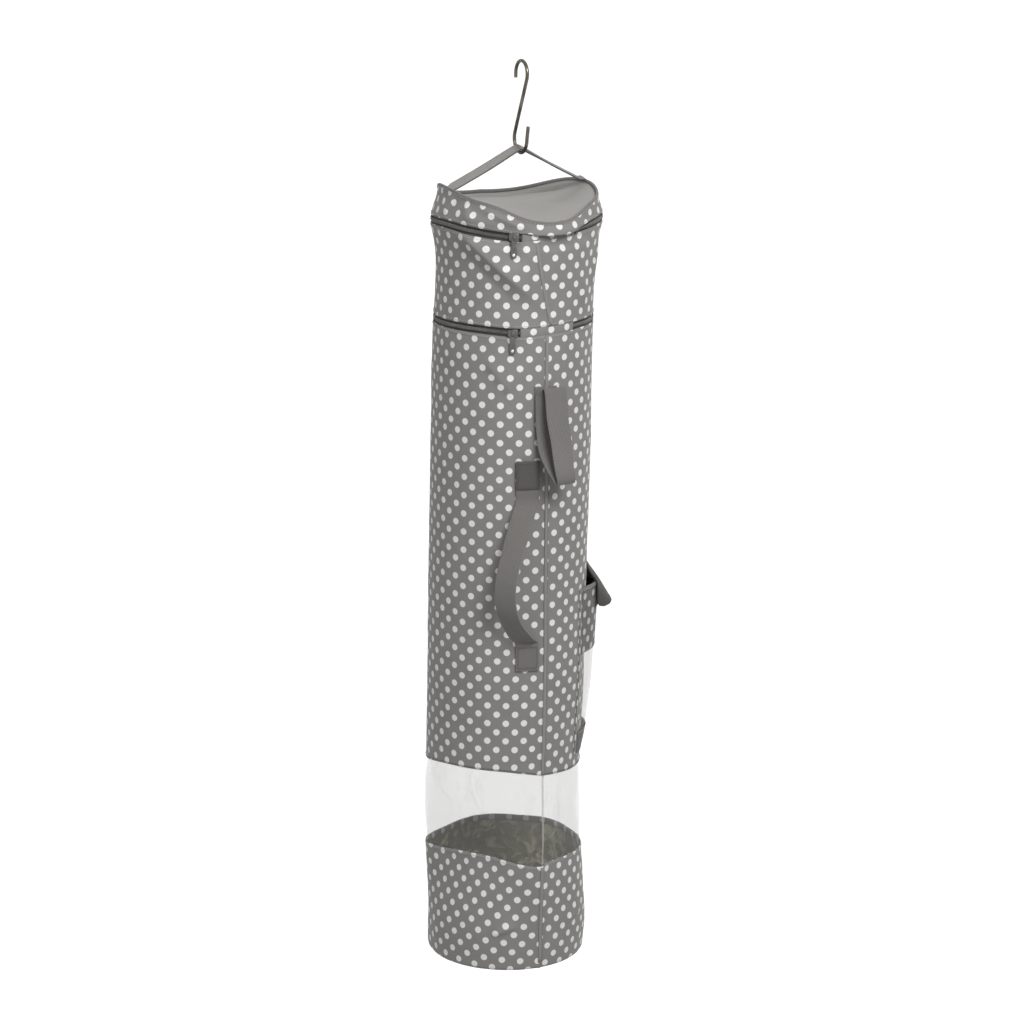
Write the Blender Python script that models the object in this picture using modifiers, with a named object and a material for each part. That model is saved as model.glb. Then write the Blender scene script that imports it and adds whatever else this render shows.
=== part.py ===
"""Hanging gift wrap organizer: a soft cloth tube with two zips, a clear window and a hook.

The bag stands on the origin with its axis along +Z.  The wall's seam, the cloth hinges of both
zips, the handle and the grab loop are at the front, -Y.  Angles go round the tube from the
front, positive toward +X.  Lengths are in metres.
"""

import math

import bmesh
import bpy
from mathutils import Matrix, Vector

# The tube: one radius for every cloth wall, and the heights of its bands from the floor up
tube_radius = 0.100
cloth = 0.0012
lay_gap = 0.0003
skirt_height = 0.137
window_height = 0.121
lower_zip_height = 0.821
neck_length = 0.1175
ring_steps = 72

# Foot of the bag
foot_flare = 0.002
foot_radius = 0.010
flare_height = 0.040
panel_thickness = 0.0015
board_thickness = 0.0025
board_clearance = 0.004
window_sheet = 0.0006
window_lap = 0.008
seam_tape_width = 0.008
seam_tape = 0.0008
window_seam_width = 0.006

# Zips: both have the same tape, coil, cloth hinge and slider
zip_opening = 0.0012
coil_height = 0.0022
coil_depth = 0.0018
coil_proud = 0.0006
tape_thickness = 0.0007
tape_width = 0.0114
cloth_edge = 0.007
hinge_rise = 0.0065
patch_width = 0.0744
patch_end_gap = 0.0012

# Slider and pull tab
slider_length = 0.012
slider_height = 0.010
slider_plate = 0.0014
slider_back_plate = 0.0010
slider_back_height = 0.0050
slider_running_gap = 0.0005
slider_web = 0.0006
slider_web_inset = 0.0015
slider_end_gap = 0.003
crown_width = 0.0016
crown_bar = 0.0010
crown_eye_depth = 0.0022
crown_eye_height = 0.0028
tab_thickness = 0.0012
tab_length = 0.026
tab_tip_width = 0.0075
tab_root_width = 0.0056
tab_bar = 0.0012
tab_window_width = 0.0026
tab_window_length = 0.0032
tab_hole_radius = 0.0018
tab_tip_margin = 0.0020

# Lid: its rim dips at the front and is drawn up at the sides, where the strap is sewn
rim_front_rise = 0.0185
rim_side_rise = 0.055
rim_back_rise = 0.0365
binding_height = 0.004
binding_proud = 0.0006
binding_inset = 0.0011
panel_drop = 0.004
panel_centre_rise = 0.0275
panel_clearance = 0.0005

# Webbing: strap, handle and grab loop
webbing = 0.0018
webbing_width = 0.029
strap_width = 0.025
strap_end_width = 0.007
strap_taper_share = 0.8
strap_spacing_share = 0.8
strap_rise = 0.0478
strap_lean = math.radians(14)
strap_bend = 0.002
strap_curl_reach = 0.030
strap_foot_radius = 0.0885
strap_foot_drop = 0.0035
strap_end_length = 0.0066
strap_end_gap = 0.0006

# Hook: bent from round wire, the upper crook over a rail and the lower one under the strap
wire_radius = 0.00225
upper_crook_radius = 0.0135
lower_crook_radius = 0.0150
hook_height = 0.1167
hook_back_drop = 0.006
hook_tip_rise = 0.0165
hook_tip_flare = 0.0030
hook_arc_step = math.radians(10)

# Carry handle, sewn to the wall at both ends, its bow leaning to the left
handle_angle = math.radians(-16)
handle_top = 0.6623
handle_top_tab_height = 0.0363
handle_bottom = 0.3939
handle_bottom_tab_height = 0.0337
handle_bow = 0.055
handle_lean = math.radians(-40)
handle_sag_share = 1.45
handle_twist_reach = 0.040
handle_end_width = 0.0044

# Grab loop, hanging from its sewn top
loop_angle = math.radians(-2.5)
loop_top = 0.7547
loop_tab_height = 0.040
loop_length = 0.117
loop_reach = 0.038
loop_twist = math.radians(18)
loop_twist_start_share = 0.3
# Side view of the loop: how far out and how far down, as shares of its reach and its length
loop_shares = (
    (0.00, 0.09), (0.00, 0.22), (0.02, 0.36), (0.08, 0.54), (0.20, 0.69), (0.50, 0.83),
    (0.80, 0.935), (0.97, 0.985), (1.02, 0.93), (0.91, 0.82), (0.68, 0.61),
    (0.50, 0.37), (0.37, 0.16), (0.27, 0.045), (0.12, 0.015),
)

# Side pocket
pocket_angle = math.radians(80)
pocket_width = 0.150
pocket_rise = 0.008
pocket_base_height = 0.049
pocket_window_height = 0.084
pocket_band_height = 0.087
pocket_bulge = 0.013
pocket_foot_share = 0.2
pocket_foot_bulge_share = 0.55
pocket_binding_height = 0.004
pocket_binding_proud = 0.0008
side_binding_width = 0.008
fastener_width = 0.060
fastener_height = 0.015
fastener_thickness = 0.0012
fastener_drop = 0.019
flap_rise = 0.026
flap_width = 0.112
flap_length = 0.058
flap_thickness = 0.0020
flap_tilt = math.radians(32)
flap_corner = 0.015
flap_fastener_drop = 0.037

# Counts of facets, and the distance within which points of one mesh are joined
foot_steps = 6
tab_tip_steps = 12
tab_hole_steps = 12
panel_steps = 36
panel_rings = 5
strap_end_steps = 2
strap_end_ribs = 4
strap_steps = 28
strap_ribs = 6
bow_steps = 30
bow_ribs = 3
loop_steps = 44
loop_ribs = 2
pocket_steps = 20
pocket_rows = 2
pocket_base_rows = 6
fastener_steps = 8
flap_steps = 14
flap_rows = 12
wire_bevel_steps = 2
weld_distance = 0.00001

# Heights and angles that follow
window_top = skirt_height + window_height
pocket_bottom = window_top + pocket_rise
upper_zip_height = lower_zip_height + neck_length
patch_half_angle = patch_width / 2 / tube_radius
zip_end_angle = patch_half_angle + patch_end_gap / tube_radius
slider_angle = -(patch_half_angle + (slider_length / 2 + slider_end_gap) / tube_radius)
wall_inside = tube_radius - cloth
tape_outside = wall_inside - lay_gap
tape_inside = tape_outside - tape_thickness
coil_outside = tube_radius + coil_proud


def on_ring(radius, angle, height):
    """Point at a radius, an angle from the front and a height."""
    return Vector((radius * math.sin(angle), -radius * math.cos(angle), height))


def rim_height(angle):
    """Top of the lid's binding: low in front, high at the sides, middling at the back."""
    fore = (rim_back_rise - rim_front_rise) / 2
    ends = (rim_back_rise + rim_front_rise) / 2
    mean = (rim_side_rise + ends) / 2
    swing = (rim_side_rise - ends) / 2
    return upper_zip_height + mean - swing * math.cos(2 * angle) - fore * math.cos(angle)


def panel_radius():
    """Radius of the lid's panel, inside the binding."""
    return wall_inside - binding_inset - panel_clearance


def panel_height(radius, angle):
    """Top face of the lid's panel, which sags from the rim to its middle."""
    centre = upper_zip_height + panel_centre_rise
    share = radius / panel_radius()
    return centre + (rim_height(angle) - panel_drop - centre) * share * share


# Where the strap's feet, the strap's top and the two crooks lie
strap_foot_height = upper_zip_height + rim_side_rise - strap_foot_drop
crook_reach = strap_rise + lower_crook_radius - lay_gap - webbing
crook_centre = Vector((
    0,
    -crook_reach * math.sin(strap_lean),
    strap_foot_height + crook_reach * math.cos(strap_lean),
))
handle_line_radius = tube_radius + lay_gap + webbing + webbing / 2
loop_line_radius = tube_radius + lay_gap + webbing
flap_height = pocket_bottom + pocket_base_height + pocket_window_height + pocket_band_height + flap_rise
flap_hinge_radius = tube_radius + lay_gap + flap_thickness * math.cos(flap_tilt)
flap_hinge_height = flap_height + flap_thickness * math.sin(flap_tilt)
tab_pivot_radius = coil_outside + slider_running_gap + slider_plate + crown_eye_depth / 2

# Pivot of every moving body, with the body that carries it
bodies = {
    "tube": (None, Vector((0, 0, 0))),
    "neck": ("tube", on_ring(tube_radius, 0, lower_zip_height + hinge_rise)),
    "lid": ("neck", on_ring(tube_radius, 0, upper_zip_height + hinge_rise)),
    "lower_slider": ("tube", Vector((0, 0, lower_zip_height))),
    "upper_slider": ("neck", Vector((0, 0, upper_zip_height))),
    "lower_pull": ("lower_slider", on_ring(tab_pivot_radius, slider_angle, lower_zip_height)),
    "upper_pull": ("upper_slider", on_ring(tab_pivot_radius, slider_angle, upper_zip_height)),
    "strap": ("lid", Vector((0, 0, strap_foot_height))),
    "hook": ("strap", crook_centre),
    "handle": ("tube", on_ring(handle_line_radius, handle_angle, handle_bottom)),
    "loop": ("tube", on_ring(loop_line_radius, loop_angle, loop_top)),
    "flap": ("tube", on_ring(flap_hinge_radius, pocket_angle, flap_hinge_height)),
}


def clear_scene():
    """Remove whatever the file opened with."""
    for thing in list(bpy.data.objects):
        bpy.data.objects.remove(thing)


def new_collection(name):
    """A collection under the scene's own."""
    made = bpy.data.collections.new(name)
    bpy.context.scene.collection.children.link(made)
    return made


def new_finish(name, shade, roughness, metallic=0.0, alpha=1.0):
    """A Principled material in one colour."""
    finish = bpy.data.materials.new(name)
    finish.use_nodes = True
    shader = finish.node_tree.nodes["Principled BSDF"]
    shader.inputs["Base Color"].default_value = (*shade, 1.0)
    shader.inputs["Roughness"].default_value = roughness
    shader.inputs["Metallic"].default_value = metallic
    shader.inputs["Alpha"].default_value = alpha
    return finish


clear_scene()
organizer = new_collection("gift_wrap_organizer")
cutters = new_collection("cutters")

dotted_cloth = new_finish("dotted_cloth", (0.25, 0.25, 0.25), 0.75)
plain_cloth = new_finish("plain_cloth", (0.33, 0.33, 0.31), 0.6)
trim_cloth = new_finish("trim_cloth", (0.07, 0.07, 0.07), 0.8)
zip_cloth = new_finish("zip_cloth", (0.03, 0.03, 0.03), 0.85)
zip_nylon = new_finish("zip_nylon", (0.03, 0.03, 0.03), 0.4)
zip_metal = new_finish("zip_metal", (0.05, 0.05, 0.05), 0.35, 0.9)
webbing_cloth = new_finish("webbing_cloth", (0.09, 0.09, 0.09), 0.85)
clear_vinyl = new_finish("clear_vinyl", (0.9, 0.9, 0.9), 0.08, 0.0, 0.25)
stiff_board = new_finish("stiff_board", (0.2, 0.2, 0.19), 0.8)
wire_metal = new_finish("wire_metal", (0.45, 0.4, 0.34), 0.25, 1.0)

axes = {}
for body, (carrier, pivot) in bodies.items():
    axis = bpy.data.objects.new(body + "_axis", None)
    organizer.objects.link(axis)
    axis.location = pivot
    if carrier:
        axis.parent = axes[carrier]
        axis.location = pivot - bodies[carrier][1]
    axes[body] = axis


def new_part(name, data, finish, body, place=None, turn=(0, 0, 0)):
    """An object on its body's axis; place is where its origin lies in the world."""
    data.materials.append(finish)
    part = bpy.data.objects.new(name, data)
    organizer.objects.link(part)
    part.parent = axes[body]
    part.location = (place or Vector((0, 0, 0))) - bodies[body][1]
    part.rotation_euler = turn
    return part


def sheet(name, finish, body, place, across, along, thickness, offset=-1, joined=False):
    """A sheet of even thickness over a grid; place gives a point for two shares from 0 to 1.

    offset is -1 where place gives the outer face and 0 where it gives the middle.
    """
    grid = bmesh.new()
    bmesh.ops.create_grid(grid, x_segments=across, y_segments=along, size=1)
    for vert in grid.verts:
        vert.co = place((vert.co.x + 1) / 2, (vert.co.y + 1) / 2)
    if joined:
        bmesh.ops.remove_doubles(grid, verts=grid.verts, dist=weld_distance)
    mesh = bpy.data.meshes.new(name)
    grid.to_mesh(mesh)
    grid.free()
    mesh.shade_smooth()
    part = new_part(name, mesh, finish, body)
    solid = part.modifiers.new("thickness", "SOLIDIFY")
    solid.thickness = thickness
    solid.offset = offset
    return part


def band(name, finish, body, radius, thickness, low, high, start=-math.pi, end=math.pi, rows=1):
    """A band round the tube between two edges, which are functions of the angle."""
    whole = end - start > 2 * math.pi - weld_distance
    steps = max(2, round(ring_steps * (end - start) / (2 * math.pi)))

    def place(u, v):
        angle = start + (end - start) * u
        return on_ring(radius, angle, low(angle) + (high(angle) - low(angle)) * v)

    return sheet(name, finish, body, place, steps, rows, thickness, joined=whole)


def level(height):
    """An edge at one height all the way round."""
    return lambda angle: height


def arc_patch(name, finish, body, radius, thickness, angle, width, low, high):
    """A band of one width, centred on an angle and laid on the radius of its inner face."""
    half = width / 2 / tube_radius
    outer = radius + thickness
    return band(name, finish, body, outer, thickness, level(low), level(high), angle - half, angle + half)


def turned(name, finish, body, profile):
    """A closed profile of radius and height, its outer side running down, turned about +Z."""
    outline = bmesh.new()
    points = [outline.verts.new((radius, 0, height)) for radius, height in profile]
    for first, second in zip(points, points[1:] + points[:1]):
        outline.edges.new((first, second))
    mesh = bpy.data.meshes.new(name)
    outline.to_mesh(mesh)
    outline.free()
    part = new_part(name, mesh, finish, body)
    screw = part.modifiers.new("turn", "SCREW")
    screw.axis = "Z"
    screw.angle = 2 * math.pi
    screw.steps = ring_steps
    screw.render_steps = ring_steps
    screw.use_merge_vertices = True
    screw.merge_threshold = weld_distance
    screw.use_smooth_shade = True
    return part


def turned_wall(name, finish, body, outer, thickness, low, high):
    """A plain turned wall."""
    inner = outer - thickness
    return turned(name, finish, body, [(outer, high), (outer, low), (inner, low), (inner, high)])


def block_mesh(name, low, high):
    """A box between two corners."""
    box = bmesh.new()
    bmesh.ops.create_cube(box, size=1)
    for vert in box.verts:
        vert.co = Vector((
            (low[axis] + high[axis]) / 2 + vert.co[axis] * (high[axis] - low[axis])
            for axis in range(3)
        ))
    mesh = bpy.data.meshes.new(name)
    box.to_mesh(mesh)
    box.free()
    return mesh


def joined_blocks(name, finish, body, blocks, place, turn):
    """Boxes that overlap, joined into one solid."""
    part = new_part(name, block_mesh(name, *blocks[0]), finish, body, place, turn)
    for number, corners in enumerate(blocks[1:]):
        tool = bpy.data.objects.new(f"{name}_block_{number}", block_mesh(name, *corners))
        cutters.objects.link(tool)
        tool.parent = part.parent
        tool.location = part.location
        tool.rotation_euler = turn
        tool.hide_render = True
        tool.display_type = "WIRE"
        join = part.modifiers.new(f"join_{number}", "BOOLEAN")
        join.operation = "UNION"
        join.object = tool
    return part


def flat_outline(name, finish, body, outlines, thickness, place, turn):
    """A flat piece from closed outlines: the first is its edge and the others are holes."""
    curve = bpy.data.curves.new(name, "CURVE")
    curve.dimensions = "2D"
    curve.fill_mode = "BOTH"
    curve.extrude = thickness / 2
    for outline in outlines:
        spline = curve.splines.new("POLY")
        spline.points.add(len(outline) - 1)
        for point, (x, y) in zip(spline.points, outline):
            point.co = (x, y, 0, 1)
        spline.use_cyclic_u = True
    return new_part(name, curve, finish, body, place, turn)


def arc(centre, radius, first, last, steps):
    """Points along an arc, in degrees, as pairs."""
    angles = [math.radians(first + (last - first) * step / steps) for step in range(steps + 1)]
    return [(centre[0] + radius * math.cos(a), centre[1] + radius * math.sin(a)) for a in angles]


def disc(name, finish, radius, low, high):
    """A round plate on the tube's axis."""
    plate = bmesh.new()
    middle = Matrix.Translation((0, 0, (low + high) / 2))
    bmesh.ops.create_cone(
        plate, cap_ends=True, segments=ring_steps, radius1=radius, radius2=radius,
        depth=high - low, matrix=middle,
    )
    mesh = bpy.data.meshes.new(name)
    plate.to_mesh(mesh)
    plate.free()
    return new_part(name, mesh, finish, "tube")


def make_foot():
    """Base skirt, bottom panel and the stiff board on it."""
    outer = tube_radius + foot_flare
    turn_in = outer - foot_radius
    centre = (turn_in, foot_radius + lay_gap)
    outside = [(tube_radius, skirt_height), (outer, flare_height)]
    outside += arc(centre, foot_radius, 0, -90, foot_steps)
    inside = arc(centre, foot_radius - cloth, -90, 0, foot_steps)
    inside += [(outer - cloth, flare_height), (wall_inside, skirt_height)]
    turned("base_skirt", dotted_cloth, "tube", outside + inside)
    disc("base_panel", plain_cloth, turn_in - lay_gap, 0, panel_thickness)
    low = panel_thickness + lay_gap
    disc("base_board", stiff_board, turn_in - board_clearance, low, low + board_thickness)


def make_tube_wall():
    """Clear window, dotted wall and the tapes over their seams."""
    window_outside = wall_inside - lay_gap
    turned_wall(
        "window_band", clear_vinyl, "tube", window_outside, window_sheet,
        skirt_height - window_lap, window_top + window_lap,
    )
    arc_patch(
        "window_seam_strip", clear_vinyl, "tube", wall_inside, cloth - lay_gap, 0, window_seam_width,
        skirt_height + lay_gap, window_top - lay_gap,
    )
    wall_top = lower_zip_height - cloth_edge
    turned_wall("tube_wall", dotted_cloth, "tube", tube_radius, cloth, window_top, wall_top)
    tape_face = wall_inside - lay_gap - seam_tape
    arc_patch(
        "tube_seam_binding", trim_cloth, "tube", tape_face, seam_tape, 0, seam_tape_width,
        window_top + window_lap + lay_gap, wall_top,
    )
    arc_patch(
        "skirt_seam_binding", trim_cloth, "tube", tape_face, seam_tape, 0, seam_tape_width,
        flare_height, skirt_height - window_lap - lay_gap,
    )


def make_neck_wall():
    """Dotted wall between the zips, and its seam tape."""
    low = lower_zip_height + cloth_edge
    high = upper_zip_height - cloth_edge
    turned_wall("neck_wall", dotted_cloth, "neck", tube_radius, cloth, low, high)
    tape_face = wall_inside - lay_gap - seam_tape
    arc_patch(
        "neck_seam_binding", trim_cloth, "neck", tape_face, seam_tape, 0, seam_tape_width, low, high,
    )


def make_zip(prefix, height, lower_body, upper_body, names):
    """Two tapes, two coils and the cloth hinge patch; names are those of the lower and upper half."""
    first = zip_end_angle
    last = 2 * math.pi - zip_end_angle
    for side, body, half in ((-1, lower_body, names[0]), (1, upper_body, names[1])):
        near = height + side * zip_opening / 2
        tape_end = near + side * tape_width
        coil_end = near + side * coil_height
        band(
            f"{prefix}_zip_{half}_tape", zip_cloth, body, tape_outside, tape_thickness,
            level(min(near, tape_end)), level(max(near, tape_end)), first, last,
        )
        band(
            f"{prefix}_zip_{half}_coil", zip_nylon, body, coil_outside, coil_depth,
            level(min(near, coil_end)), level(max(near, coil_end)), first, last,
        )
    arc_patch(
        f"{prefix}_hinge_patch", dotted_cloth, lower_body, wall_inside, cloth, 0, patch_width,
        height - cloth_edge + lay_gap, height + hinge_rise - lay_gap,
    )


def make_slider(prefix, height):
    """Slider: a front plate, a back plate behind the lower tape, a thin web and a crown."""
    face = -(coil_outside + slider_running_gap)
    front = face - slider_plate
    back = -(tape_inside - slider_running_gap)
    rear = back + slider_back_plate
    web = slider_web / 2
    web_half = slider_length / 2 - slider_web_inset
    half_crown = crown_width / 2
    eye = crown_eye_height / 2
    crown_top = front - crown_eye_depth - crown_bar
    root = front + slider_plate / 2
    blocks = [
        ((-slider_length / 2, front, -slider_height / 2), (slider_length / 2, face, slider_height / 2)),
        ((-web_half, root, -web), (web_half, rear - slider_back_plate / 2, web)),
        ((-web_half, back, -slider_back_height), (web_half, rear, web)),
        ((-half_crown, crown_top, -eye - crown_bar), (half_crown, root, -eye)),
        ((-half_crown, crown_top, eye), (half_crown, root, eye + crown_bar)),
        ((-half_crown, crown_top, -eye - crown_bar / 2), (half_crown, crown_top + crown_bar, eye + crown_bar / 2)),
    ]
    place = Vector((0, 0, height))
    joined_blocks(f"{prefix}_slider", zip_metal, f"{prefix}_slider", blocks, place, (0, 0, slider_angle))


def make_pull_tab(prefix, height):
    """Pull tab: a flat plate with a round hole at its tip and a window for the slider's crown."""
    root = tab_bar / 2
    tip = root - tab_length
    half_tip = tab_tip_width / 2
    half_root = tab_root_width / 2
    outline = [(-half_root, root), (-half_root, root - tab_window_length - tab_bar)]
    outline += arc((0, tip + half_tip), half_tip, 180, 360, tab_tip_steps)
    outline += [(half_root, root - tab_window_length - tab_bar), (half_root, root)]
    hole = arc((0, tip + tab_tip_margin + tab_hole_radius), tab_hole_radius, 0, 360, tab_hole_steps)[:-1]
    window_half = tab_window_width / 2
    window = [
        (-window_half, -root), (window_half, -root),
        (window_half, -root - tab_window_length), (-window_half, -root - tab_window_length),
    ]
    place = on_ring(tab_pivot_radius, slider_angle, height)
    turn = (math.pi / 2, 0, slider_angle)
    flat_outline(
        f"{prefix}_pull_tab", zip_metal, f"{prefix}_pull", [outline, hole, window], tab_thickness,
        place, turn,
    )


def make_lid():
    """Lid: short wall, binding round its rim and the sagging panel."""
    low = upper_zip_height + cloth_edge
    band(
        "lid_skirt", dotted_cloth, "lid", tube_radius, cloth, level(low),
        lambda angle: rim_height(angle) - binding_height - lay_gap,
    )
    band(
        "rim_binding", trim_cloth, "lid", tube_radius + binding_proud,
        binding_proud + cloth + binding_inset,
        lambda angle: rim_height(angle) - binding_height, rim_height,
    )

    def place(u, v):
        angle = 2 * math.pi * u
        radius = panel_radius() * (1 - v)
        return on_ring(radius, angle, panel_height(radius, angle))

    sheet("lid_panel", plain_cloth, "lid", place, panel_steps, panel_rings, cloth, joined=True)


def make_strap_ends():
    """Sewn-down ends of the strap, lying on the panel just inside the rim."""
    inner = strap_foot_radius + lay_gap
    rise = panel_height(inner + strap_end_length, math.pi / 2) - panel_height(inner, math.pi / 2)
    lift = (strap_end_gap + webbing) * math.hypot(1, rise / strap_end_length)
    for name, side in (("strap_end_left", -1), ("strap_end_right", 1)):

        def place(u, v):
            x = side * (inner + strap_end_length * u)
            y = side * strap_width * (v - 0.5)
            radius = math.hypot(x, y)
            return Vector((x, y, panel_height(radius, math.atan2(x, -y)) + lift))

        sheet(name, webbing_cloth, "lid", place, strap_end_steps, strap_end_ribs, webbing)


def make_strap():
    """Webbing from side to side of the rim, bent over the hook's wire and curled into its crook."""
    # slope that brings the bent line down to the feet at the strap's half span
    run = math.hypot(strap_foot_radius, strap_bend) - strap_bend
    fall = strap_rise / run
    curl_radius = lower_crook_radius - lay_gap - webbing / 2
    middle_rise = strap_rise - webbing / 2

    def place(u, v):
        reach = 2 * u - 1
        x = strap_foot_radius * reach * abs(reach) ** strap_spacing_share
        drop = fall * (math.hypot(x, strap_bend) - strap_bend)
        from_foot = (strap_foot_radius - abs(x)) * math.hypot(1, fall)
        width = min(strap_width, strap_end_width + 2 * strap_taper_share * from_foot)
        bend = math.exp(-((x / strap_curl_reach) ** 2)) / curl_radius
        across = width * (v - 0.5)
        y = math.sin(bend * across) / bend
        lift = (1 - math.cos(bend * across)) / bend
        upright = Vector((x, y, middle_rise - drop + lift))
        return Matrix.Rotation(strap_lean, 3, "X") @ upright + Vector((0, 0, strap_foot_height))

    sheet("hang_strap", webbing_cloth, "strap", place, strap_steps, strap_ribs, webbing, offset=0)


def make_hook():
    """Open hook in the fore-and-aft plane, one round wire with a crook at each end."""
    upper = upper_crook_radius + wire_radius
    lower = lower_crook_radius + wire_radius
    between = hook_height - upper - lower - 2 * wire_radius
    slant = math.asin((upper + lower) / between)
    # pairs of forward distance and height above the lower crook's centre
    route = [(-upper, between - hook_back_drop)]
    steps = round((math.pi + slant) / hook_arc_step)
    route += arc((0, between), upper, 180, -math.degrees(slant), steps)
    steps = round((math.pi - slant) / hook_arc_step)
    route += arc((0, 0), lower, 180 - math.degrees(slant), 360, steps)
    route.append((lower + hook_tip_flare, hook_tip_rise))
    curve = bpy.data.curves.new("s_hook", "CURVE")
    curve.dimensions = "3D"
    curve.bevel_depth = wire_radius
    curve.bevel_resolution = wire_bevel_steps
    curve.use_fill_caps = True
    spline = curve.splines.new("POLY")
    spline.points.add(len(route) - 1)
    for point, (forward, height) in zip(spline.points, route):
        point.co = (0, -forward, height, 1)
    new_part("s_hook", curve, wire_metal, "hook", crook_centre)


def make_handle():
    """Sewn tabs of doubled webbing, and the bow between them."""
    face = tube_radius + lay_gap
    top_low = handle_top - handle_top_tab_height
    bottom_high = handle_bottom + handle_bottom_tab_height
    for name, low, high in (
        ("handle_top_tab", top_low, handle_top),
        ("handle_bottom_tab", handle_bottom, bottom_high),
    ):
        arc_patch(name, webbing_cloth, "tube", face, 2 * webbing, handle_angle, webbing_width, low, high)
    low = bottom_high + lay_gap + webbing / 2
    length = top_low - lay_gap - low

    def place(u, v):
        out = handle_bow * math.sin(math.pi * (1 - v) ** handle_sag_share)
        facing = handle_angle + handle_lean * min(1, out / handle_twist_reach)
        width = min(webbing_width, handle_end_width + 2 * out)
        centre = on_ring(handle_line_radius, handle_angle, low + length * v)
        centre += on_ring(out, handle_angle + handle_lean, 0)
        return centre + on_ring(width * (u - 0.5), facing + math.pi / 2, 0)

    sheet("handle_bow", webbing_cloth, "handle", place, bow_ribs, bow_steps, webbing, offset=0)


def through(points, share):
    """Smooth closed line through points, by the Catmull-Rom formula."""
    count = len(points)
    place = share * count
    first = int(place) % count
    t = place - int(place)
    a, b, c, d = (Vector(points[(first + step) % count]) for step in (-1, 0, 1, 2))
    return (
        b + (c - a) * (t / 2) + (a - b * 2.5 + c * 2 - d / 2) * t**2
        + (b * 1.5 - a / 2 - c * 1.5 + d / 2) * t**3
    )


def make_grab_loop():
    """Sewn tab, and the loop of webbing that hangs from it and twists as it falls."""
    face = tube_radius + lay_gap
    low = loop_top - loop_tab_height
    arc_patch("loop_tab", webbing_cloth, "tube", face, webbing, loop_angle, webbing_width, low, loop_top)
    stand_off = lay_gap + webbing / 2

    def place(u, v):
        out_share, down_share = through(loop_shares, v)
        out = stand_off + loop_reach * out_share
        turn_share = max(0, down_share - loop_twist_start_share) / (1 - loop_twist_start_share)
        facing = loop_angle + loop_twist * min(1, turn_share)
        centre = on_ring(loop_line_radius, loop_angle, loop_top - loop_length * down_share)
        centre += on_ring(out, facing, 0)
        return centre + on_ring(webbing_width * (u - 0.5), facing + math.pi / 2, 0)

    sheet("grab_loop", webbing_cloth, "loop", place, loop_ribs, loop_steps, webbing, offset=0, joined=True)


def pocket_out(angle, height, lift=0):
    """Radius of the pocket's outer face, which stands off the wall in its middle."""
    total = pocket_base_height + pocket_window_height + pocket_band_height
    up = (height - pocket_bottom) / total
    rise = pocket_foot_bulge_share + (1 - pocket_foot_bulge_share) * up
    foot = math.sin(math.pi / 2 * min(1, up / pocket_foot_share))
    side = math.cos(math.pi * tube_radius / pocket_width * (angle - pocket_angle)) ** 2
    return tube_radius + lay_gap + cloth + pocket_bulge * rise * foot * side + lift


def pocket_sheet(
    name, finish, low, high, width, thickness, lift=0, rows=pocket_rows, steps=pocket_steps
):
    """A piece of the pocket's front between two heights."""
    half = width / 2 / tube_radius

    def place(u, v):
        angle = pocket_angle + half * (2 * u - 1)
        height = low + (high - low) * v
        return on_ring(pocket_out(angle, height, lift), angle, height)

    return sheet(name, finish, "tube", place, steps, rows, thickness)


def make_pocket():
    """Pocket front in three bands, its bindings and its half of the fastener."""
    base_top = pocket_bottom + pocket_base_height
    window_end = base_top + pocket_window_height
    mouth = window_end + pocket_band_height
    band_top = mouth - pocket_binding_height
    pocket_sheet(
        "pocket_base", trim_cloth, pocket_bottom, base_top - lay_gap, pocket_width, cloth,
        rows=pocket_base_rows,
    )
    pocket_sheet("pocket_window", clear_vinyl, base_top, window_end - lay_gap, pocket_width, cloth)
    pocket_sheet("pocket_band", dotted_cloth, window_end, band_top - lay_gap, pocket_width, cloth)
    pocket_sheet(
        "pocket_top_binding", trim_cloth, band_top, mouth, pocket_width,
        cloth + pocket_binding_proud, pocket_binding_proud, 1,
    )
    side_angle = (pocket_width / 2 + lay_gap + side_binding_width / 2) / tube_radius
    for name, side in (("pocket_side_binding_left", -1), ("pocket_side_binding_right", 1)):
        arc_patch(
            name, trim_cloth, "tube", tube_radius + lay_gap, cloth, pocket_angle + side * side_angle,
            side_binding_width, pocket_bottom, mouth,
        )
    high = mouth - fastener_drop
    pocket_sheet(
        "pocket_fastener", trim_cloth, high - fastener_height, high, fastener_width,
        fastener_thickness, lay_gap + fastener_thickness, 1, fastener_steps,
    )


def flap_sheet(name, finish, start, length, width, thickness, lift, corner, rows):
    """A tilted piece of the flap; start and length run down it, lift stands off its inner face."""

    def place(u, v):
        down = start + length * (1 - v)
        past = max(0, corner - length * v)
        half = width / 2 - corner + math.sqrt(max(0, corner**2 - past**2))
        angle = pocket_angle + half / tube_radius * (2 * u - 1)
        out = tube_radius + lay_gap + down * math.sin(flap_tilt) + lift * math.cos(flap_tilt)
        height = flap_height - down * math.cos(flap_tilt) + lift * math.sin(flap_tilt)
        return on_ring(out, angle, height)

    return sheet(name, finish, "flap", place, flap_steps, rows, thickness)


def make_flap():
    """Flap over the pocket's mouth, standing open, with its half of the fastener inside."""
    flap_sheet(
        "pocket_flap", trim_cloth, 0, flap_length, flap_width, flap_thickness, flap_thickness,
        flap_corner, flap_rows,
    )
    flap_sheet(
        "flap_fastener", trim_cloth, flap_fastener_drop, fastener_height, fastener_width,
        fastener_thickness, -lay_gap, 0, 1,
    )


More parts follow.
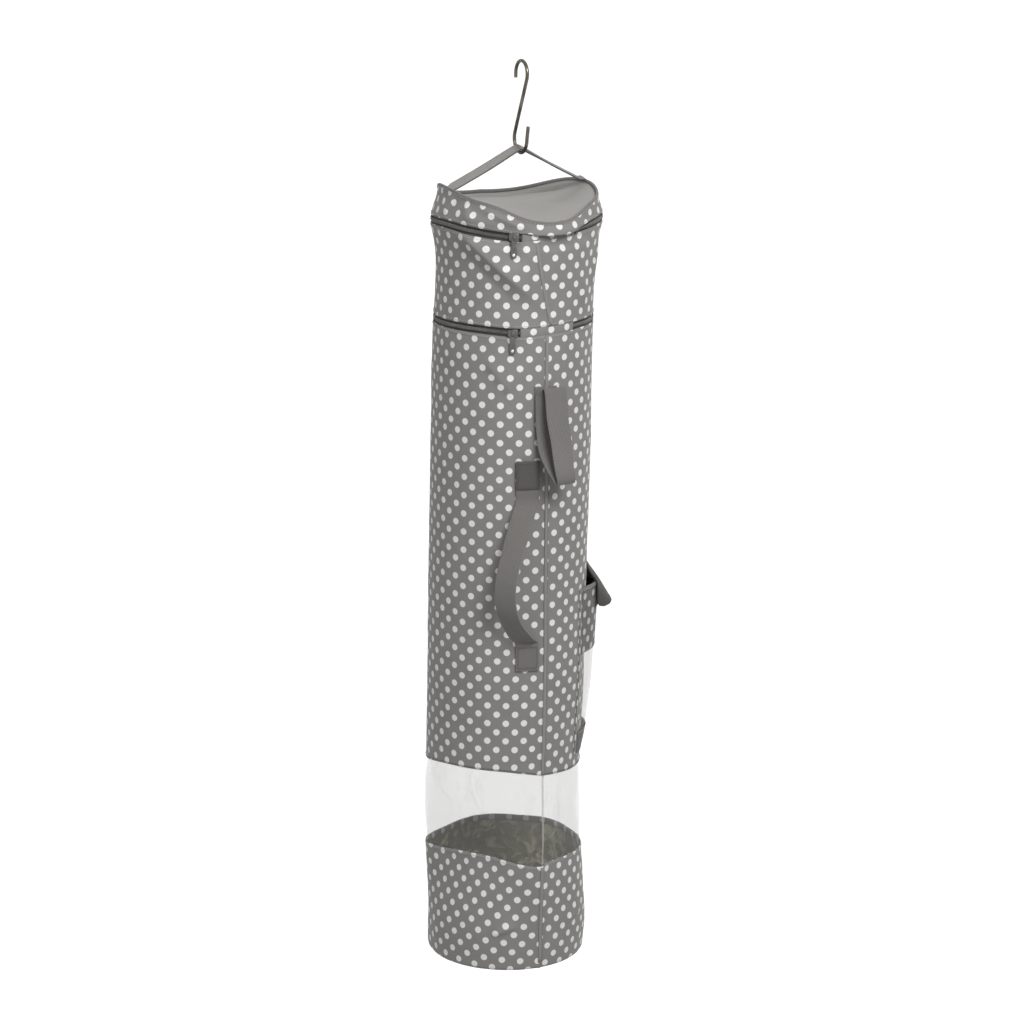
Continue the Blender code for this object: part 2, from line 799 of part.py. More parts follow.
make_foot()
make_tube_wall()
make_neck_wall()
make_zip("lower", lower_zip_height, "tube", "neck", ("tube", "neck"))
make_zip("upper", upper_zip_height, "neck", "lid", ("neck", "lid"))
for zip_name, zip_height in (("lower", lower_zip_height), ("upper", upper_zip_height)):
    make_slider(zip_name, zip_height)
    make_pull_tab(zip_name, zip_height)
make_lid()
make_strap_ends()
make_strap()
make_hook()
make_handle()
make_grab_loop()
make_pocket()
make_flap()
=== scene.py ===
"""Looks of the hanging gift wrap organizer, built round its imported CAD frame.

The bag stands on the origin with its axis along +Z.  The wall's seam, the cloth hinges, the
handle and the grab loop are at the front, -Y.  Angles go round the tube from the front, positive
toward +X, and are written in degrees where a table holds them.  Lengths are in metres.
"""

import logging
import math
from dataclasses import dataclass, replace
from enum import Enum
from typing import Callable, Optional, Sequence

import bmesh
import bpy
from mathutils import Matrix, Vector, noise


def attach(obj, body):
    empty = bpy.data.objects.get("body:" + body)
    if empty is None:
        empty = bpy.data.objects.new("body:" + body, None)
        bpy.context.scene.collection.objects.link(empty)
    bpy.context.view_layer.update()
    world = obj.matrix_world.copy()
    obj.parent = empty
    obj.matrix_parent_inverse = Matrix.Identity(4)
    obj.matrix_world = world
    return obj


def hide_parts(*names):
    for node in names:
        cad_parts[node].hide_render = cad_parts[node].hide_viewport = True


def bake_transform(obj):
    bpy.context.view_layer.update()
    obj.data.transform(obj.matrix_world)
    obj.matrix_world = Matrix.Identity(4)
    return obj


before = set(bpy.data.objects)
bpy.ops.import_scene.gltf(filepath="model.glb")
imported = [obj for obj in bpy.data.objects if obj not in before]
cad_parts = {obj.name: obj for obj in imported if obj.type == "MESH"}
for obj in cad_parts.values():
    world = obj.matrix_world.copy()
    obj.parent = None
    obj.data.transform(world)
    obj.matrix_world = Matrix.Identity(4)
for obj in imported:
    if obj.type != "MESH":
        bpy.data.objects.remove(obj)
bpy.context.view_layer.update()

log = logging.getLogger("gift_wrap_organizer")

Place = Callable[[float, float], Vector]
Flat = Callable[[float, float], tuple]
Edge = Callable[[float], float]
Path = Callable[[float], tuple]

# Sizes that several pieces share; zip_gap is from a zip's line to the edge of the cloth beside it
tube_radius = 0.100
cloth = 0.0012
lay_gap = 0.0003
lower_zip = 0.821
upper_zip = 0.9385
skirt_top = 0.137
window_top = 0.258
webbing_thickness = 0.0018
lap_rise = 0.0017
lap_width = 0.0075
tape_depth = cloth + 0.0009
binding_sheet = 0.0008
zip_gap = 0.0052
slider_angle = -0.46205
pocket_angle = math.radians(80)
millimetre = 0.001


class Body(str, Enum):
    """The CAD bodies that pieces ride on."""

    TUBE = "tube"
    NECK = "neck"
    LID = "lid"
    LOWER_SLIDER = "lower_slider"
    UPPER_SLIDER = "upper_slider"
    LOWER_PULL = "lower_pull"
    UPPER_PULL = "upper_pull"
    STRAP = "strap"
    HOOK = "hook"
    HANDLE = "handle"
    LOOP = "loop"
    FLAP = "flap"


class Slot(str, Enum):
    """The record's material slots."""

    DOTTED = "dotted_cloth"
    PLAIN = "plain_cloth"
    TRIM = "trim_cloth"
    WEBBING = "webbing_cloth"
    ZIP_CLOTH = "zip_cloth"
    ZIP_NYLON = "zip_nylon"
    ZIP_METAL = "zip_metal"
    VINYL = "clear_vinyl"
    WIRE = "wire_metal"


def linear(code: str) -> tuple:
    """Turn an sRGB hex colour into linear light.

    Args:
        code: six hex digits after a hash sign.

    Returns:
        Red, green, blue and an alpha of 1.
    """
    levels = []
    for start in (1, 3, 5):
        share = int(code[start:start + 2], 16) / 255
        levels.append(share / 12.92 if share <= 0.04045 else ((share + 0.055) / 1.055) ** 2.4)
    return (*levels, 1.0)


def fill(tree: bpy.types.NodeTree, node: bpy.types.Node, inputs: dict) -> None:
    """Give a node its inputs.

    Args:
        tree: the material's node tree.
        node: the node.
        inputs: for each input's name or number a value, the output to link, or a node, which
            stands for its first output.
    """
    for name, value in inputs.items():
        source = value.outputs[0] if isinstance(value, bpy.types.Node) else value
        if isinstance(source, bpy.types.NodeSocket):
            tree.links.new(source, node.inputs[name])
        else:
            node.inputs[name].default_value = source


def add_node(tree: bpy.types.NodeTree, kind: str, inputs: dict, **settings) -> bpy.types.Node:
    """Add a node to a material.

    Args:
        tree: the material's node tree.
        kind: the node's type, without the word that starts every type's name.
        inputs: what fill takes.
        **settings: the node's own settings.

    Returns:
        The new node.
    """
    node = tree.nodes.new(f"ShaderNode{kind}")
    for name, value in settings.items():
        setattr(node, name, value)
    fill(tree, node, inputs)
    return node


def lattice_distance(tree: bpy.types.NodeTree, cell: bpy.types.Node) -> bpy.types.Node:
    """Distance to the nearest point of a staggered lattice, in cells.

    Args:
        tree: the material's node tree.
        cell: the node of a vector that grows by 1 from one cell to the next.

    Returns:
        The node that holds the distance.
    """
    lengths = []
    for offset in (0.0, 0.5):
        part = add_node(tree, "VectorMath", {0: cell, 1: (offset, offset, 0)}, operation="ADD")
        part = add_node(tree, "VectorMath", {0: part}, operation="FRACTION")
        part = add_node(tree, "VectorMath", {0: part, 1: (0.5, 0.5, 0)}, operation="SUBTRACT")
        part = add_node(tree, "VectorMath", {0: part, 1: (1, 1, 0)}, operation="MULTIPLY")
        lengths.append(add_node(tree, "VectorMath", {0: part}, operation="LENGTH").outputs["Value"])
    return add_node(tree, "Math", {0: lengths[0], 1: lengths[1]}, operation="MINIMUM")


@dataclass(frozen=True)
class Finish:
    """A material of the organizer; each kind adds its own nodes to the shader."""

    name: str

    def dress(self, tree: bpy.types.NodeTree, shader: bpy.types.Node) -> None:
        """Add the nodes of this finish; each kind has its own."""
        raise NotImplementedError(self.name)

    def material(self) -> bpy.types.Material:
        """Make the material, or find it where it is already made.

        Returns:
            The finished material.
        """
        found = bpy.data.materials.get(self.name)
        if found:
            return found
        made = bpy.data.materials.new(self.name)
        made.use_nodes = True
        self.dress(made.node_tree, made.node_tree.nodes["Principled BSDF"])
        return made


@dataclass(frozen=True)
class Woven(Finish):
    """Plain-woven polyester: matt, with fine crossing threads and soft cloudy crumples."""

    ground: str = "#878583"
    # Painted shade, mixed in between the threads and in the low parts of the crumples
    shaded: str = "#7F7D7B"
    roughness: float = 0.62
    sheen: float = 0.12
    warp: float = 0.9 * millimetre
    weft: float = 0.9 * millimetre
    skew: float = 0.0
    thread_depth: float = 0.12 * millimetre
    crumple_size: float = 34 * millimetre
    crumple_depth: float = 0.8 * millimetre
    crease_size: float = 9 * millimetre
    crease_depth: float = 0.16 * millimetre

    def flat(self, tree: bpy.types.NodeTree) -> bpy.types.Node:
        """The piece's flat coordinates, in metres."""
        return add_node(tree, "UVMap", {}, uv_map="flat")

    def threads(self, tree: bpy.types.NodeTree, flat: bpy.types.Node) -> bpy.types.Node:
        """Height of crossing threads, from 0 to 1.

        Args:
            tree: the material's node tree.
            flat: the piece's flat coordinates.

        Returns:
            The node that holds the height; a skew moves the crossings over, as in a twill.
        """
        axes = add_node(tree, "SeparateXYZ", {0: flat})
        across = add_node(tree, "Math", {0: axes, 1: math.tau / self.warp}, operation="MULTIPLY")
        along = add_node(
            tree, "Math", {0: axes.outputs[1], 1: math.tau / self.weft}, operation="MULTIPLY",
        )
        lean = add_node(tree, "Math", {0: along, 1: self.skew, 2: across}, operation="MULTIPLY_ADD")
        first, second = (add_node(tree, "Math", {0: wave}, operation="SINE") for wave in (lean, along))
        crossed = add_node(tree, "Math", {0: first, 1: second}, operation="MULTIPLY")
        return add_node(tree, "Math", {0: crossed, 1: 0.5, 2: 0.5}, operation="MULTIPLY_ADD")

    def relief(self, tree: bpy.types.NodeTree, flat: bpy.types.Node) -> tuple:
        """Bump of threads over creases over crumples.

        Args:
            tree: the material's node tree.
            flat: the piece's flat coordinates.

        Returns:
            The nodes of the normal, of the weave's height and of the ground's colour.
        """
        room = add_node(tree, "TexCoord", {}).outputs["Object"]
        clouds = add_node(
            tree, "TexNoise", {"Vector": room, "Scale": 1 / self.crumple_size, "Detail": 2.0},
        )
        creases = add_node(
            tree, "TexNoise",
            {"Vector": room, "Scale": 1 / self.crease_size, "Detail": 3.0, "Distortion": 0.6},
        )
        weave = self.threads(tree, flat)
        normal = add_node(tree, "Bump", {"Distance": self.crumple_depth, "Height": clouds})
        for depth, height in ((self.crease_depth, creases), (self.thread_depth, weave)):
            normal = add_node(tree, "Bump", {"Distance": depth, "Height": height, "Normal": normal})
        return normal, weave, self.shade(tree, weave, clouds)

    def shade(
        self, tree: bpy.types.NodeTree, weave: bpy.types.Node, clouds: bpy.types.Node
    ) -> bpy.types.NodeSocket:
        """Ground colour with painted shade, darker between the threads and where the slow crumple noise is
        low.

        Args:
            tree: the material's node tree.
            weave: height of the threads.
            clouds: the slow noise.

        Returns:
            The colour's socket.
        """
        mixed = add_node(tree, "Math", {0: weave, 1: clouds}, operation="MULTIPLY")
        share = add_node(tree, "MapRange", {"Value": mixed, "From Min": 0.1, "From Max": 0.45})
        colours = {0: share, 6: linear(self.shaded), 7: linear(self.ground)}
        return add_node(tree, "Mix", colours, data_type="RGBA").outputs[2]

    def dress(self, tree: bpy.types.NodeTree, shader: bpy.types.Node) -> None:
        """Colour, relief and sheen of the cloth."""
        normal, _, colour = self.relief(tree, self.flat(tree))
        fill(tree, shader, {
            "Base Color": colour, "Normal": normal, "Roughness": self.roughness, "Sheen Weight": self.sheen,
        })


@dataclass(frozen=True)
class DottedCanvas(Woven):
    """Polyester canvas screen-printed with staggered dots: matt ground, the ink a little smoother."""

    dot: str = "#F1F0ED"
    # Darker ink between the threads: painted shade
    dot_in_thread_shade: str = "#E5E3E0"
    dot_diameter: float = 8.3 * millimetre
    dot_pitch: float = 23.2 * millimetre
    edge_softness: float = 0.35 * millimetre
    ink_roughness: float = 0.5
    turn: float = 0.0
    shift: tuple = (0.0, 0.0)

    def dress(self, tree: bpy.types.NodeTree, shader: bpy.types.Node) -> None:
        """Print the dots over the woven ground."""
        flat = self.flat(tree)
        normal, weave, ground = self.relief(tree, flat)
        placed = add_node(
            tree, "Mapping", {"Vector": flat, "Location": (*self.shift, 0), "Rotation": (0, 0, self.turn)},
        )
        cell = add_node(tree, "VectorMath", {0: placed, "Scale": 1 / self.dot_pitch}, operation="SCALE")
        radius = self.dot_diameter / 2 / self.dot_pitch
        soft = self.edge_softness / self.dot_pitch
        ink = add_node(tree, "MapRange", {
            "Value": lattice_distance(tree, cell), "From Min": radius - soft, "From Max": radius + soft,
            "To Min": 1.0, "To Max": 0.0,
        }, interpolation_type="SMOOTHSTEP")
        # The ink is darker where the threads lie low: painted shade between the threads
        printed = add_node(
            tree, "Mix", {0: weave, 6: linear(self.dot_in_thread_shade), 7: linear(self.dot)}, data_type="RGBA",
        )
        colour = add_node(tree, "Mix", {0: ink, 6: ground, 7: printed.outputs[2]}, data_type="RGBA")
        gloss = add_node(
            tree, "MapRange", {"Value": ink, "To Min": self.roughness, "To Max": self.ink_roughness},
        )
        fill(tree, shader, {
            "Base Color": colour.outputs[2], "Roughness": gloss, "Normal": normal,
            "Sheen Weight": self.sheen,
        })


@dataclass(frozen=True)
class Backing(Woven):
    """PVC coat on the canvas's back: smooth, crinkled and a little shiny, the weave showing through."""

    coat: float = 0.6
    coat_roughness: float = 0.25
    # Pale colour of the crinkles: painted highlight
    crinkle_highlight: str = "#C6C2A4"
    crinkle_size: float = 26 * millimetre
    crinkle_depth: float = 4 * millimetre

    def dress(self, tree: bpy.types.NodeTree, shader: bpy.types.Node) -> None:
        """Cloth under a thin shiny coat, with painted highlight where it is crinkled."""
        normal, _, ground = self.relief(tree, self.flat(tree))
        room = add_node(tree, "TexCoord", {}).outputs["Object"]
        crinkles = add_node(
            tree, "TexNoise",
            {"Vector": room, "Scale": 1 / self.crinkle_size, "Detail": 5.0, "Distortion": 1.8},
        )
        # The crinkles are paler where they would shine: painted highlight
        crinkle_highlight_mask = add_node(
            tree, "MapRange", {"Value": crinkles, "From Min": 0.50, "From Max": 0.66, "To Max": 0.85},
        )
        colour = add_node(tree, "Mix", {0: crinkle_highlight_mask, 6: ground, 7: linear(self.crinkle_highlight)}, data_type="RGBA")
        ridges = add_node(
            tree, "Bump", {"Distance": self.crinkle_depth, "Height": crinkles, "Normal": normal},
        )
        fill(tree, shader, {
            "Base Color": colour.outputs[2], "Normal": ridges, "Roughness": self.roughness,
            "Coat Weight": self.coat, "Coat Roughness": self.coat_roughness,
        })


@dataclass(frozen=True)
class Webbing(Woven):
    """Polypropylene webbing: thick twilled yarns whose crowns catch the light in staggered rows."""

    # Lighter colour of the yarn crowns: painted highlight
    crown: str = "#8B8885"
    crown_across: float = 2.0 * millimetre
    crown_along: float = 3.0 * millimetre
    crown_depth: float = 0.3 * millimetre

    def dress(self, tree: bpy.types.NodeTree, shader: bpy.types.Node) -> None:
        """Twill with painted highlight on its yarn crowns, drawn about half as coarse again as real to
        show.
        """
        flat = self.flat(tree)
        normal, _, ground = self.relief(tree, flat)
        cell = add_node(
            tree, "VectorMath", {0: flat, 1: (1 / self.crown_across, 1 / self.crown_along, 0)},
            operation="MULTIPLY",
        )
        crown_highlight_and_relief = add_node(tree, "MapRange", {
            "Value": lattice_distance(tree, cell), "From Min": 0.12, "From Max": 0.4,
            "To Min": 1.0, "To Max": 0.0,
        }, interpolation_type="SMOOTHSTEP")
        colour = add_node(tree, "Mix", {0: crown_highlight_and_relief, 6: ground, 7: linear(self.crown)}, data_type="RGBA")
        raised = add_node(tree, "Bump", {"Distance": self.crown_depth, "Height": crown_highlight_and_relief, "Normal": normal})
        fill(tree, shader, {
            "Base Color": colour.outputs[2], "Normal": raised, "Roughness": self.roughness,
            "Sheen Weight": self.sheen,
        })


@dataclass(frozen=True)
class Vinyl(Finish):
    """Clear PVC sheet: faintly grey, glossy, with long soft creases whose bright streaks are painted
    highlight.
    """

    tint: str = "#B9B8B5"
    clearness: float = 0.875
    roughness: float = 0.12
    streak_size: float = 42 * millimetre
    crease_depth: float = 1.6 * millimetre

    def dress(self, tree: bpy.types.NodeTree, shader: bpy.types.Node) -> None:
        """See-through film, less clear at a slant as a painted reflection, and along its creases as a
        painted highlight.
        """
        room = add_node(tree, "TexCoord", {}).outputs["Object"]
        stretched = add_node(
            tree, "Mapping", {"Vector": room, "Rotation": (0.5, 0.3, 0), "Scale": (1.6, 1.6, 0.55)},
        )
        creases = add_node(
            tree, "TexNoise",
            {"Vector": stretched, "Scale": 1 / self.streak_size, "Detail": 4.0, "Distortion": 1.2},
        )
        bump = add_node(tree, "Bump", {"Distance": self.crease_depth, "Height": creases})
        slant = add_node(tree, "LayerWeight", {"Blend": 0.25, "Normal": bump}).outputs["Fresnel"]
        # Paler cover along the creases: painted highlight streaks
        crease_highlight = add_node(
            tree, "MapRange", {"Value": creases, "From Min": 0.60, "From Max": 0.78, "To Max": 0.06},
        )
        haze_and_slant_reflection = add_node(
            tree, "Math", {0: slant, 1: 0.03, 2: 1 - self.clearness}, operation="MULTIPLY_ADD",
        )
        cover = add_node(tree, "Math", {0: haze_and_slant_reflection, 1: crease_highlight}, operation="ADD", use_clamp=True)
        fill(tree, shader, {
            "Base Color": linear(self.tint), "Roughness": self.roughness, "Specular IOR Level": 1.0,
            "Alpha": cover, "Normal": bump,
        })


@dataclass(frozen=True)
class Hard(Finish):
    """A smooth hard surface, such as moulded nylon, painted zinc or plated wire."""

    colour: str = "#6A6866"
    worn: str = "#7C7A77"
    roughness: float = 0.35
    rough_worn: float = 0.5
    metallic: float = 0.0
    coat: float = 0.0
    grain: float = 6 * millimetre
    grain_stretch: tuple = (1.0, 1.0, 1.0)
    grain_depth: float = 0.05 * millimetre

    def dress(self, tree: bpy.types.NodeTree, shader: bpy.types.Node) -> None:
        """Colour and gloss that vary slowly, over a faint grain."""
        room = add_node(tree, "TexCoord", {}).outputs["Object"]
        stretched = add_node(tree, "Mapping", {"Vector": room, "Scale": self.grain_stretch})
        grain = add_node(tree, "TexNoise", {"Vector": stretched, "Scale": 1 / self.grain, "Detail": 4.0})
        wear = add_node(tree, "MapRange", {"Value": grain, "From Min": 0.38, "From Max": 0.68})
        colour = add_node(
            tree, "Mix", {0: wear, 6: linear(self.colour), 7: linear(self.worn)}, data_type="RGBA",
        )
        gloss = add_node(
            tree, "MapRange", {"Value": wear, "To Min": self.roughness, "To Max": self.rough_worn},
        )
        bump = add_node(tree, "Bump", {"Distance": self.grain_depth, "Height": grain})
        fill(tree, shader, {
            "Base Color": colour.outputs[2], "Roughness": gloss, "Normal": bump,
            "Metallic": self.metallic, "Coat Weight": self.coat,
        })


# Printed canvas looks soft and matt, and its dots a little crisper; each wall's print starts at
# its own place, as on cloth that is cut from a roll
canvas = DottedCanvas("printed_polyester_canvas")
skirt_canvas = DottedCanvas("printed_canvas_of_the_skirt", turn=math.radians(5), shift=(0.004, 0.009))
neck_canvas = DottedCanvas("printed_canvas_of_the_neck", shift=(0.006, 0.004))
lid_canvas = DottedCanvas("printed_canvas_of_the_lid", shift=(0.002, 0.011))
patch_canvas = DottedCanvas("printed_canvas_of_the_hinges", shift=(0.009, 0.002))
# A darker copy of the print for the pocket's band and the skirt's hem: painted shade
shaded_pocket_canvas = DottedCanvas(
    "printed_canvas_in_painted_shade", ground="#605E5C", shaded="#575553", dot="#CFCDCA", dot_in_thread_shade="#C2C0BD",
    shift=(0.003, 0.007),
)
# The coated back shows as an olive, shiny crinkle wherever one looks into the bag, its pale crinkles a
# painted highlight
backing = Backing(
    "pvc_coated_canvas_back", ground="#76724F", shaded="#5A5640", roughness=0.36, sheen=0.0,
    crumple_depth=5.0 * millimetre, crease_size=15 * millimetre, crease_depth=2.2 * millimetre,
)
# Plain cloths are even and dull, and read as flat greys of their own beside the print; the dark greys of
# the pocket's base and flap are painted shade
panel_cloth = Woven(
    "plain_woven_polyester", ground="#999793", shaded="#918F8B", roughness=0.6, sheen=0.1,
    crease_depth=0.08 * millimetre, crumple_depth=0.5 * millimetre,
)
shaded_pocket_base_cloth = Woven("woven_polyester_of_the_pocket_base_in_painted_shade", ground="#4F4D4B", shaded="#454341", roughness=0.7)
shaded_flap_cloth = Woven("woven_polyester_of_the_flap_in_painted_shade", ground="#3E3C3B", shaded="#343231", roughness=0.75)
binding_tape = Woven(
    "grosgrain_binding_tape", ground="#827F7C", shaded="#6E6B69", roughness=0.7,
    warp=0.8 * millimetre, weft=1.6 * millimetre, thread_depth=0.2 * millimetre,
)
zip_tape = Woven(
    "woven_polyester_zip_tape", ground="#4B4947", shaded="#3B3938", roughness=0.75,
    warp=1.1 * millimetre, weft=0.8 * millimetre, crumple_depth=0.1 * millimetre,
)
# Webbing shows its coarse slanting yarns, their crowns a painted highlight, grosgrain its cross ribs and
# the pad a dark fuzz
webbing = Webbing(
    "polypropylene_webbing", ground="#676461", shaded="#5A5855", roughness=0.7,
    warp=1.3 * millimetre, weft=2.4 * millimetre, skew=0.5, thread_depth=0.3 * millimetre,
    crumple_depth=0.3 * millimetre, crease_depth=0.1 * millimetre,
)
strap_webbing = replace(
    webbing, name="light_polypropylene_webbing", ground="#8A8784", shaded="#7B7875", crown="#A19E9B",
)
hooked_pad = Woven(
    "nylon_hook_and_loop_pad", ground="#4E4C4A", shaded="#3C3A39", roughness=0.9, sheen=0.4,
    warp=1.2 * millimetre, weft=1.2 * millimetre, thread_depth=0.5 * millimetre,
)
# Clear sheet is nearly lost against white, and shows by its seam, by its creases, a painted highlight, and
# by its slanting edges, partly by painted reflection
vinyl = Vinyl("clear_pvc_sheet")
# Paler, less clear film for the welded seam, and for the creases, where it is painted highlight
seam_and_crease_highlight_vinyl = Vinyl("clear_pvc_seam_and_painted_crease_highlight", tint="#C6C4C1", clearness=0.66, crease_depth=0.4 * millimetre)
# Teeth, sliders and wire are the only glossy darks, the wire's dark colour a painted dark reflection;
# thread is a fine pale or dark dashed line
nylon = Hard("moulded_nylon_zip_teeth", colour="#64625F", worn="#787572", roughness=0.32, rough_worn=0.45)
painted_zinc = Hard(
    "painted_die_cast_zinc", colour="#52504E", worn="#646260", roughness=0.3, rough_worn=0.42,
    metallic=0.35, coat=0.3, grain=3 * millimetre,
)
# Plated wire darkened, with darker streaks along it: painted dark reflection
plated_wire_painted_dark = Hard(
    "nickel_plated_steel_wire_with_painted_dark_reflection", colour="#6B675F", worn="#444039", roughness=0.2, rough_worn=0.34,
    metallic=1.0, grain=5 * millimetre, grain_stretch=(1.0, 1.0, 0.25), grain_depth=0.03 * millimetre,
)
greyboard = Hard(
    "pressed_grey_board", colour="#6F6C63", worn="#7D7A70", roughness=0.75, rough_worn=0.85,
    grain=2 * millimetre, grain_depth=0.15 * millimetre,
)
thread = Hard(
    "spun_polyester_thread", colour="#C6C3BF", worn="#B3B0AC", roughness=0.6, rough_worn=0.7,
    grain=2 * millimetre, grain_depth=0.02 * millimetre,
)
dark_thread = replace(thread, name="dark_spun_polyester_thread", colour="#4C4A48", worn="#434140")
seam_canvas = Woven("printed_canvas_ground_at_the_seams", ground="#8E8C89", shaded="#858380")
# Dark strip in the seam's gap: painted shadow
seam_shadow_cloth = Woven("painted_shadow_in_the_seam", ground="#3F3D3C", shaded="#353332", roughness=0.8, sheen=0.0)
# Darker webbing for the handle's folded end, and for the strap's edges, where it is painted shade
darker_webbing_and_painted_edge_shade = Woven(
    "darker_polypropylene_webbing_and_painted_edge_shade", ground="#595654", shaded="#4D4B49", roughness=0.75,
    warp=1.3 * millimetre, weft=2.4 * millimetre, thread_depth=0.2 * millimetre,
)
# Bright metal for the dome in the pull tab's hole: painted glint
glint_zinc = Hard(
    "zinc_dimple_with_painted_glint", colour="#D8D6D2", worn="#B9B6B2", roughness=0.2, rough_worn=0.3, metallic=1.0,
)


def on_ring(radius: float, angle: float, height: float) -> Vector:
    """Point at a radius, an angle from the front in radians and a height."""
    return Vector((radius * math.sin(angle), -radius * math.cos(angle), height))


def smooth(share: float) -> float:
    """Ease from 0 to 1, flat at both ends."""
    held = min(1.0, max(0.0, share))
    return held * held * (3 - 2 * held)


def between(first: float, last: float, share: float) -> float:
    """Value that lies a share of the way from the first to the last."""
    return first + (last - first) * share


def hump(distance: float, reach: float, power: int = 2) -> float:
    """Bell that is 1 at no distance and dies away past its reach, more squarely at a higher power."""
    return math.exp(-((distance / reach) ** power))


def turn_of(degrees: float) -> float:
    """The same angle between -180 and 180 degrees."""
    return (degrees + 180) % 360 - 180


def through_points(pairs: Sequence[tuple], whole_turn: bool) -> Edge:
    """Smooth line through points of angle or height and value.

    Args:
        pairs: the points, their first values rising.
        whole_turn: whether the line closes on itself after 360 degrees.

    Returns:
        A function that gives the value at an angle or a height.
    """
    if whole_turn:
        before = [(place - 360, value) for place, value in pairs[-2:]]
        after = [(place + 360, value) for place, value in pairs[:2]]
    else:
        before = [(pairs[0][0] - 1, pairs[0][1])]
        after = [(pairs[-1][0] + 1, pairs[-1][1])]
    points = before + list(pairs) + after

    def value_at(place: float) -> float:
        """Value at one place, by cubic steps between the points."""
        where = turn_of(place) if whole_turn else min(max(place, pairs[0][0]), pairs[-1][0])
        index = 1
        while index < len(points) - 3 and points[index + 1][0] < where:
            index += 1
        (x0, y0), (x1, y1), (x2, y2), (x3, y3) = points[index - 1:index + 3]
        t = (where - x1) / (x2 - x1)
        first = (y2 - y0) / (x2 - x0) * (x2 - x1)
        last = (y3 - y1) / (x3 - x1) * (x2 - x1)
        cube, square = t ** 3, t ** 2
        return (
            (2 * cube - 3 * square + 1) * y1 + (cube - 2 * square + t) * first
            + (3 * square - 2 * cube) * y2 + (cube - square) * last
        )

    return value_at


# How the zips, the window's edges and the rim run round the soft tube, by angle in degrees
lower_zip_line = through_points([
    (-180, 0.8262), (-120, 0.8260), (-80, 0.8250), (-50, 0.8238), (-35, 0.8222), (-26, 0.8212),
    (-15, 0.8216), (0, 0.8235), (15, 0.8252), (28, 0.8264), (45, 0.8280), (70, 0.8288),
    (110, 0.8284), (150, 0.8270),
], True)
upper_zip_line = through_points([
    (-180, 0.9468), (-140, 0.9480), (-98, 0.9492), (-77, 0.9485), (-58, 0.9448), (-43, 0.9410),
    (-30, 0.9384), (-24, 0.9378), (-10, 0.9388), (7, 0.9402), (20, 0.9424), (28, 0.9446),
    (40, 0.9492), (62, 0.9535), (90, 0.9532), (130, 0.9495),
], True)
window_top_line = through_points([
    (-180, 0.2520), (-115, 0.2520), (-79, 0.2612), (-60, 0.2626), (-31, 0.2614), (-13, 0.2572),
    (1, 0.2528), (17, 0.2516), (32, 0.2503), (70, 0.2500), (120, 0.2510),
], True)
skirt_top_line = through_points([
    (-180, 0.1375), (-120, 0.1375), (-99, 0.1384), (-67, 0.1438), (-38, 0.1428), (-12, 0.1360),
    (-1, 0.1348), (9, 0.1366), (30, 0.1370), (45, 0.1364), (80, 0.1370), (130, 0.1375),
], True)
tube_seam = through_points([
    (0.0, 0.7), (0.137, 0.4), (0.258, 2.3), (0.483, 1.3), (0.649, 0.0), (0.806, -0.8),
], False)
neck_seam = through_points([(0.828, 2.4), (0.834, 1.6), (0.873, -3.5), (0.907, -7.6), (0.932, -9.0)], False)


def rim_line(degrees: float) -> float:
    """Top of the lid's rim: low in front, high at the sides, middling at the back."""
    angle = math.radians(degrees)
    plain = upper_zip + 0.04125 - 0.01375 * math.cos(2 * angle) - 0.009 * math.cos(angle)
    side = abs(turn_of(degrees))
    return plain + 0.0062 * hump(side - 38, 17) - 0.0038 * hump(side - 148, 28)


@dataclass(frozen=True)
class Fold:
    """A fold pressed into the cloth: a crest, steep on one side and gentle on the other."""

    start: tuple
    end: tuple
    depth: float
    gentle: float
    steep: float

    def rise(self, degrees: float, height: float) -> float:
        """How far the cloth stands out at a point.

        Args:
            degrees: angle from the front.
            height: height over the floor.

        Returns:
            The rise in metres, 0 away from the fold.
        """
        metres = math.radians(1) * tube_radius
        run = Vector(((self.end[0] - self.start[0]) * metres, self.end[1] - self.start[1]))
        to = Vector((turn_of(degrees - self.start[0]) * metres, height - self.start[1]))
        share = to.dot(run) / run.length_squared
        if not -0.12 < share < 1.12:
            return 0.0
        aside = (run.x * to.y - run.y * to.x) / run.length
        taper = smooth((share + 0.12) / 0.4) * smooth((1.12 - share) / 0.5)
        if aside > 0:
            return self.depth * taper * math.exp(-1.5 * aside / self.gentle)
        return self.depth * taper * max(0.0, 1 + aside / self.steep) ** 1.4


